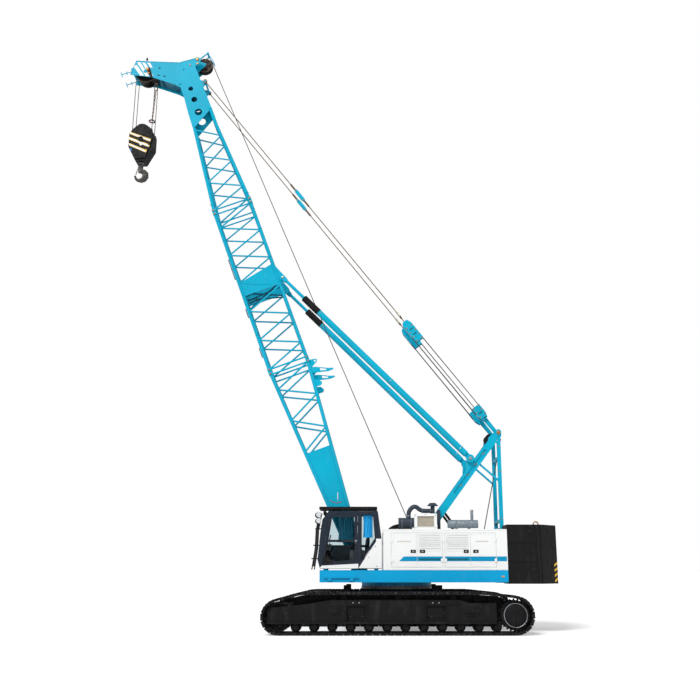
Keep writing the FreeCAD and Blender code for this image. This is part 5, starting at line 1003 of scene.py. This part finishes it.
BANDS = (((-0.40, 1.10), (0.395, 0.80), (0.36, 0.695), (-0.415, 1.01)),
         ((-0.42, 0.90), (0.36, 0.585), (0.33, 0.475), (-0.42, 0.785)),
         ((-0.42, 0.66), (0.27, 0.355), (0.235, 0.265), (-0.375, 0.535)))
for name, look, grow, proud in (("block_band_edges", YELLOW, 0, 0.002),
                                ("block_bands", STRIPE_WHITE, 0.018, 0.0035)):
    with Piece(name, look, BLOCK, slot="black_paint"):
        for side, band in product((-1, 1), BANDS):
            on_cheek([(x - 0.02 - (grow if x > 0 else 0), z + 0.03 + (-1 if k < 2 else 1) * grow * 1.3)
                          for k, (x, z) in enumerate(band)], side, proud)
with Piece("block_bosses", STRIPE_WHITE, BLOCK, 0.002, "black_paint"):
    for side in (-1, 1):
        lathe(block_at(0.02, 0.63, side), Y * side, [(0.055, 0.0), (0.055, 0.012), (0.03, 0.018)])
for name, look, x, z, wide, tall in (("block_patch_blue", PATCH_BLUE, -0.335, 0.37, 0.035, 0.11),
                                     ("block_patch_yellow", YELLOW, 0.20, 0.345, 0.05, 0.09)):
    with Piece(name, look, BLOCK):
        for side in (-1, 1):
            on_cheek([(x, z), (x + wide, z - 0.02), (x + wide - 0.01, z + tall - 0.02), (x - 0.01, z + tall)],
                     side, 0.0045)
with Piece("block_bolts", BLACK, BLOCK):
    for side in (-1, 1):
        out = Y * side
        for x, z in ((-0.33, 1.16), (-0.02, 1.38), (0.30, 1.12), (0.30, 0.62), (-0.16, 0.22), (0.10, 0.16),
                     (0.17, 0.95)):
            bolt(block_at(x, z, side), out, 0.022, 0.018)
        hub = Vector((block_x, side * (CHEEK_Y + 0.045), block_high[2] - 0.62))
        for place in round_about(hub, 0.05, 4, math.pi / 4):
            bolt(place, out, 0.012, 0.012)
hook_low, hook_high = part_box("hook")
with Piece("hook_latch", FORGED, "hook"):
    top = Vector((block_x - 0.07, 0, hook_low[2] + 0.66))
    tip = Vector((hook_low[0] + 0.06, 0, hook_low[2] + 0.33))
    for side in (-1, 1):
        rod(top + Y * side * 0.035, tip + Y * side * 0.020, 0.008, 8)
    pin(top, Y, -0.045, 0.045, 0.012, 10)
    pin(tip, Y, -0.030, 0.030, 0.010, 10)
with Piece("hook_nut", GALVANISED, "hook"):
    torus((block_x, 0, hook_high[2] - 0.012), Z, 0.090, 0.009, 28, 8)

# the chain of the limit switch that hangs beside the falls
chain_top, chain_end = at(-8.80, 0, 19.05), at(-8.86, 0, 17.82)
ring_middle = chain_end - Z * 0.04
with Piece("limit_chain", ROPE_BROWN, BLOCK, slot="bare_steel"):
    run = (chain_end - chain_top).normalized()
    links = 17
    for k in range(links):
        centre = chain_top.lerp(chain_end, (k + 0.5) / links)
        across = run.cross(X if k % 2 else Y).normalized()
        sweep([centre + across * 0.026 * math.cos(a) + run * 0.044 * math.sin(a) for a in turns(12)],
              0.011, 6, closed=True)
with Piece("limit_shackle", BRASS, BLOCK):
    bow = ((-0.03, 0.30), (-0.06, 0.05), (0, -0.02), (0.06, 0.05), (0.03, 0.30))
    sweep(rounded([chain_top + X * x + Z * z for x, z in bow]), 0.016)
    pin(chain_top + Z * 0.29, X, -0.05, 0.05, 0.020, 10)
with Piece("limit_ring", BLACK, BLOCK, slot="bare_steel"):
    torus(ring_middle, (0.05, 0.0, 1), 0.100, 0.024, 32, 8)
with Piece("limit_ring_tape", RED, BLOCK, slot="bare_steel"):
    sweep([ring_middle + X * 0.100 * math.cos(a) + Y * 0.100 * math.sin(a)
               for a in (math.radians(130 + 10 * k) for k in range(11))], 0.0255, 10)

# ---- backstops
pin_top = boom(0.815, 9.76)
pin_low = Vector(joints["backstop_swing"]["pos_m"])
pin_low.y = pin_top.y = 0
stay = (pin_low - pin_top).normalized()
lift = stay.cross(Y).normalized()
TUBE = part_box("backstop_tubes")[1][1] - BACKSTOP_Y
with Piece("backstop_sleeves", BLACK, "backstop_tubes", 0.004):
    for y in (-BACKSTOP_Y, BACKSTOP_Y):
        top = pin_top + Y * y
        pin(top, stay, 1.74, 1.03, TUBE + 0.006, 32)
        for reach in (1.04, 1.73):
            torus(top + stay * reach, stay, TUBE + 0.004, 0.008, 32)
FORK = ((-0.02, 0.075), (0.13, 0.075), (0.18, 0.055), (0.18, -0.055), (0.13, -0.075), (-0.02, -0.075))
with Piece("backstop_forks", CYAN, "backstop_rods", 0.004):
    for y in (-BACKSTOP_Y, BACKSTOP_Y):
        for middle in (y - 0.058, y + 0.058):
            cut_plate(FORK, pin_top, stay, lift, middle, 0.006)
with Piece("backstop_pins", GALVANISED, "backstop_rods"):
    for y, out in product((-BACKSTOP_Y, BACKSTOP_Y), (-1, 1)):
        lathe(pin_top + Y * (y + out * 0.075), Y * out, [(0.045, -0.012), (0.045, 0.008), (0.026, 0.014)])
with Piece("backstop_bands", STEEL, "backstop_tubes"):
    for y, reach in product((-BACKSTOP_Y, BACKSTOP_Y), (0.45, 3.6, 6.9)):
        torus(pin_low - stay * reach + Y * y, stay, TUBE, 0.006, 36)
with Piece("backstop_foot_pins", GALVANISED, UPPER):
    leg_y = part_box("gantry_front_legs")[1][1]
    for side in (-1, 1):
        lathe(pin_low + Y * side * (leg_y - 0.004), Y * side, [(0.055, 0.0), (0.055, 0.014), (0.030, 0.020)])

# ---- gantry
gantry = Vector(joints["bridle_pivot"]["pos_m"])
gantry.y = 0
leg_foot = at(0.15, 0, 1.90)
with Piece("gantry_pins", BRASS, UPPER):
    for side in (-1, 1):
        out = Y * side
        lathe(gantry + out * 0.708, out, [(0.062, 0.0), (0.062, 0.014), (0.035, 0.022)])
        for share in (0.60, 0.68, 0.76, 0.84):
            p = leg_foot.lerp(gantry, share)
            for offset in (-0.03, 0.03):
                q = skin("gantry_front_legs", (p.x + offset, 0, p.z + offset * 0.4), side)
                bolt(q, out, 0.014, 0.012)
        for x, z in ((2.62, 5.10), (3.34, 4.57)):
            bolt(at(x, side * 0.66, z), out)
with Piece("mast_bolts", BRASS, UPPER):
    for side, z in product((-1, 1), (2.1, 2.3, 3.4, 4.9, 5.7)):
        bolt(skin("gantry_masts", (gantry.x, 0, z), side), Y * side, 0.016, 0.013)
with Piece("cylinder_hoses", RUBBER, UPPER):
    for y in (-0.50, 0.50):
        for line in (((1.05, 1.90), (1.00, 2.40), (1.22, 2.95), (1.36, 3.05)),
                     ((1.12, 1.90), (1.10, 2.35), (1.34, 2.70), (1.52, 2.80))):
            sweep(rounded([at(x, y, z) for x, z in line]), 0.014)


# ---- ropes
def tangent(p, centre, radius, turn):
    """Where a line from p touches a circle in the xz plane, on the side that turn gives, and its angle."""
    gap = p - centre
    a = math.atan2(gap.z, gap.x) + turn * math.acos(radius / gap.xz.length)
    return centre + Vector((radius * math.cos(a), 0, radius * math.sin(a))), a


def arc(centre, radius, start, end, y, steps=14):
    """Points round a sheave from one angle to another."""
    return [Vector((centre.x + radius * math.cos(a), y, centre.z + radius * math.sin(a)))
            for a in (start + (end - start) * k / steps for k in range(steps + 1))]


rear_sheave = boom(0.775, 18.94)
head_sheave = boom(-1.35, 19.30)
drum_exit, _ = tangent(rear_sheave, drum, DRUM_ROPE_R, -1)
sheave_in, angle_in = tangent(drum, rear_sheave, REAR_SHEAVE_R, 1)
angle_top = math.radians(100)
path = []
for k in range(60):
    t = k / 60
    p = drum_exit.lerp(sheave_in, t)
    path.append(Vector((p.x, 0.10 - 0.16 * t, p.z - 0.05 * math.sin(math.pi * t))))
start_point = path[0].copy()
with Piece("hoist_rope", ROPE, None):
    sweep(path + arc(rear_sheave, REAR_SHEAVE_R, angle_in, angle_top, -0.06), 0.014)
hoist_rope = made["hoist_rope"]
with Piece("head_rope", ROPE_BROWN, BOOM):
    over = arc(rear_sheave, REAR_SHEAVE_R, angle_top - 0.1, angle_top + 0.25, -0.06, 6)
    under = arc(head_sheave, HEAD_SHEAVE_R, math.radians(-80), math.radians(-200), -0.20, 18)
    sweep(over + under, 0.014)
    for y in (-0.20, 0.20):
        sweep(arc(head_sheave, HEAD_SHEAVE_R, 0, math.pi, y, 22), 0.013)

with Piece("rear_sheave_rims", ROPE_BROWN, BOOM):
    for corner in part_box("rear_sheaves"):
        face = Vector((rear_sheave.x, corner[1], rear_sheave.z))
        torus(face, Y, 0.262, 0.012, 40)
        torus(face, Y, 0.075, 0.012)
        for a, b in zip(round_about(face, 0.08, 6, 0.4), round_about(face, 0.25, 6, 0.4)):
            rod(a, b, 0.011, 6)
stay_top = boom(0.60, 18.10)
bridle_run = (gantry - stay_top).normalized()
across = bridle_run.cross(Y).normalized()
# the shafts of the rope sheaves, at the pendants' upper end and below the gantry's pin
SPREADER_REACH, BRIDLE_REACH = 12.33, 0.95
spreader_shaft = stay_top + bridle_run * SPREADER_REACH
bridle_shaft = gantry - bridle_run * BRIDLE_REACH
rise = math.atan2(bridle_run.z, bridle_run.x)
for name, body, radius, shaft, turn in (
        ("luffing_ropes_low", "lower_bridle", 0.0125, bridle_shaft, rise),
        ("luffing_ropes_high", "pendants", 0.0105, spreader_shaft, rise + math.pi)):
    with Piece(name, ROPE, body):
        for side, offset in product((-1, 1), (-ROPE_GAP, ROPE_GAP)):
            y = side * PENDANT_Y + offset
            low_reach = BRIDLE_SHEAVE_R if offset > 0 else 0.138
            for edge in (-1, 1):
                rod(spreader_shaft + across * edge * BRIDLE_SHEAVE_R + Y * (y + 0.004 * edge),
                    bridle_shaft + across * edge * low_reach + Y * (y - 0.004 * edge), radius, 8)
            sweep(arc(shaft, BRIDLE_SHEAVE_R, turn - math.pi / 2, turn + math.pi / 2, y), radius)
for name, node, body, shaft, run in (("spreader", "upper_spreader", "pendants", spreader_shaft, -bridle_run),
                                     ("bridle", "lower_bridle", "lower_bridle", bridle_shaft, bridle_run)):
    with Piece(name + "_bolts", BRASS, body):
        for side, reach, edge in product((-1, 1), (-0.16, 0.0, 0.18, 0.38), (-0.10, 0.10)):
            p = shaft + run * reach + across * edge
            q = skin(node, p, side, probe)
            if q:
                bolt(q, Y * side)
    with Piece(name + "_marks", BLACK, body, 0.002):
        for side in (-1, 1):
            for reach in (0.08, 0.28):
                p = shaft + run * reach
                q = skin(node, p, side, probe)
                if q:
                    sweep([q - across * 0.07, q + across * 0.07], 0.014)
            for offset in (-ROPE_GAP, ROPE_GAP):
                torus(shaft + Y * (side * PENDANT_Y + offset), Y, 0.150, 0.012, 32)
with Piece("rope_sockets", BEIGE, "pendants", slot="rope_steel"):
    for y in (-PENDANT_Y, PENDANT_Y):
        pin(stay_top + Y * y, bridle_run, 11.15, 11.45, 0.026, 12, 0.040)
LINK = ((5.50, -0.035), (5.59, -0.06), (5.96, -0.06), (6.05, -0.035), (6.05, 0.035), (5.96, 0.06),
        (5.59, 0.06), (5.50, 0.035))
with Piece("link_paint", CYAN, "pendants", 0.003):
    for y in (-PENDANT_Y, PENDANT_Y):
        for middle in (y - 0.0255, y + 0.0255):
            cut_plate(LINK, stay_top, bridle_run, across, middle, 0.002)
with Piece("link_pins", BRASS, "pendants"):
    for y, reach in product((-PENDANT_Y, PENDANT_Y), (5.55, 6.00)):
        pin(stay_top + bridle_run * reach + Y * y, Y, -0.045, 0.045, 0.022, 14)
with Piece("winch_rope", ROPE, UPPER):
    for y in (-0.05, 0.05):
        rod(at(3.50, y, 6.05), at(2.84, y, 3.03), 0.010, 8)

# the hoist rope's placing is baked into its mesh
tuple(drum_exit.lerp(sheave_in, 0.06))
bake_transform(hoist_rope)

# ---- floor, light, camera
floor_look = Shader("floor", None, (0.80, 0.80, 0.80), 0.95, specular=0.1)
glow = floor_look.new("Math")
glow.operation = "MULTIPLY"
glow.inputs[1].default_value = 0.32
floor_look.links.new(floor_look.seen_white(), glow.inputs[0])
floor_look.set(("Base Color", floor_look.ramp(floor_look.noise(0.3, 2), 0.3, 0.7, 0.79, 0.81)),
               ("Emission Color", (1, 1, 1, 1)), ("Emission Strength", glow.outputs["Value"]))
bpy.ops.mesh.primitive_plane_add(size=1200, location=(0, 200, -0.002))
floor = bpy.context.object
floor.name = "floor"
floor.data.materials.append(floor_look.mat)

world = bpy.data.worlds.new("studio")
bpy.context.scene.world = world
world.use_nodes = True
studio = Nodes(world.node_tree)
sky = studio.nodes["Background"]
sky.inputs["Color"].default_value = (1, 1, 1, 1)
strength = studio.new("MapRange", To_Min=0.45, To_Max=1.0)
studio.links.new(studio.seen_white(), strength.inputs["Value"])
studio.links.new(strength.outputs["Result"], sky.inputs["Strength"])


def sun(name, toward, power, spread):
    """A broad soft lamp, far off, shining from a direction."""
    light = bpy.data.lights.new(name, "SUN")
    light.energy = power
    light.angle = math.radians(spread)
    lamp = bpy.data.objects.new(name, light)
    bpy.context.collection.objects.link(lamp)
    lamp.location = Vector(toward) * 60
    lamp.rotation_euler = Vector(toward).to_track_quat("Z", "Y").to_euler()


sun("key", (-0.35, -0.62, 0.70), 2.5, 20)
sun("fill", (0.75, -0.55, 0.35), 0.40, 40)

camera = bpy.data.cameras.new("camera")
camera.sensor_width = 36
camera.lens = 43.71
camera.shift_x = -0.0314
camera.clip_end = 2000
view = bpy.data.objects.new("camera", camera)
bpy.context.collection.objects.link(view)
view.location = at(-0.78, -28.1, 1.783)
view.rotation_euler = (math.radians(90 + 14.6), 0, 0)
bpy.context.scene.camera = view
bpy.context.scene.view_settings.view_transform = "Standard"
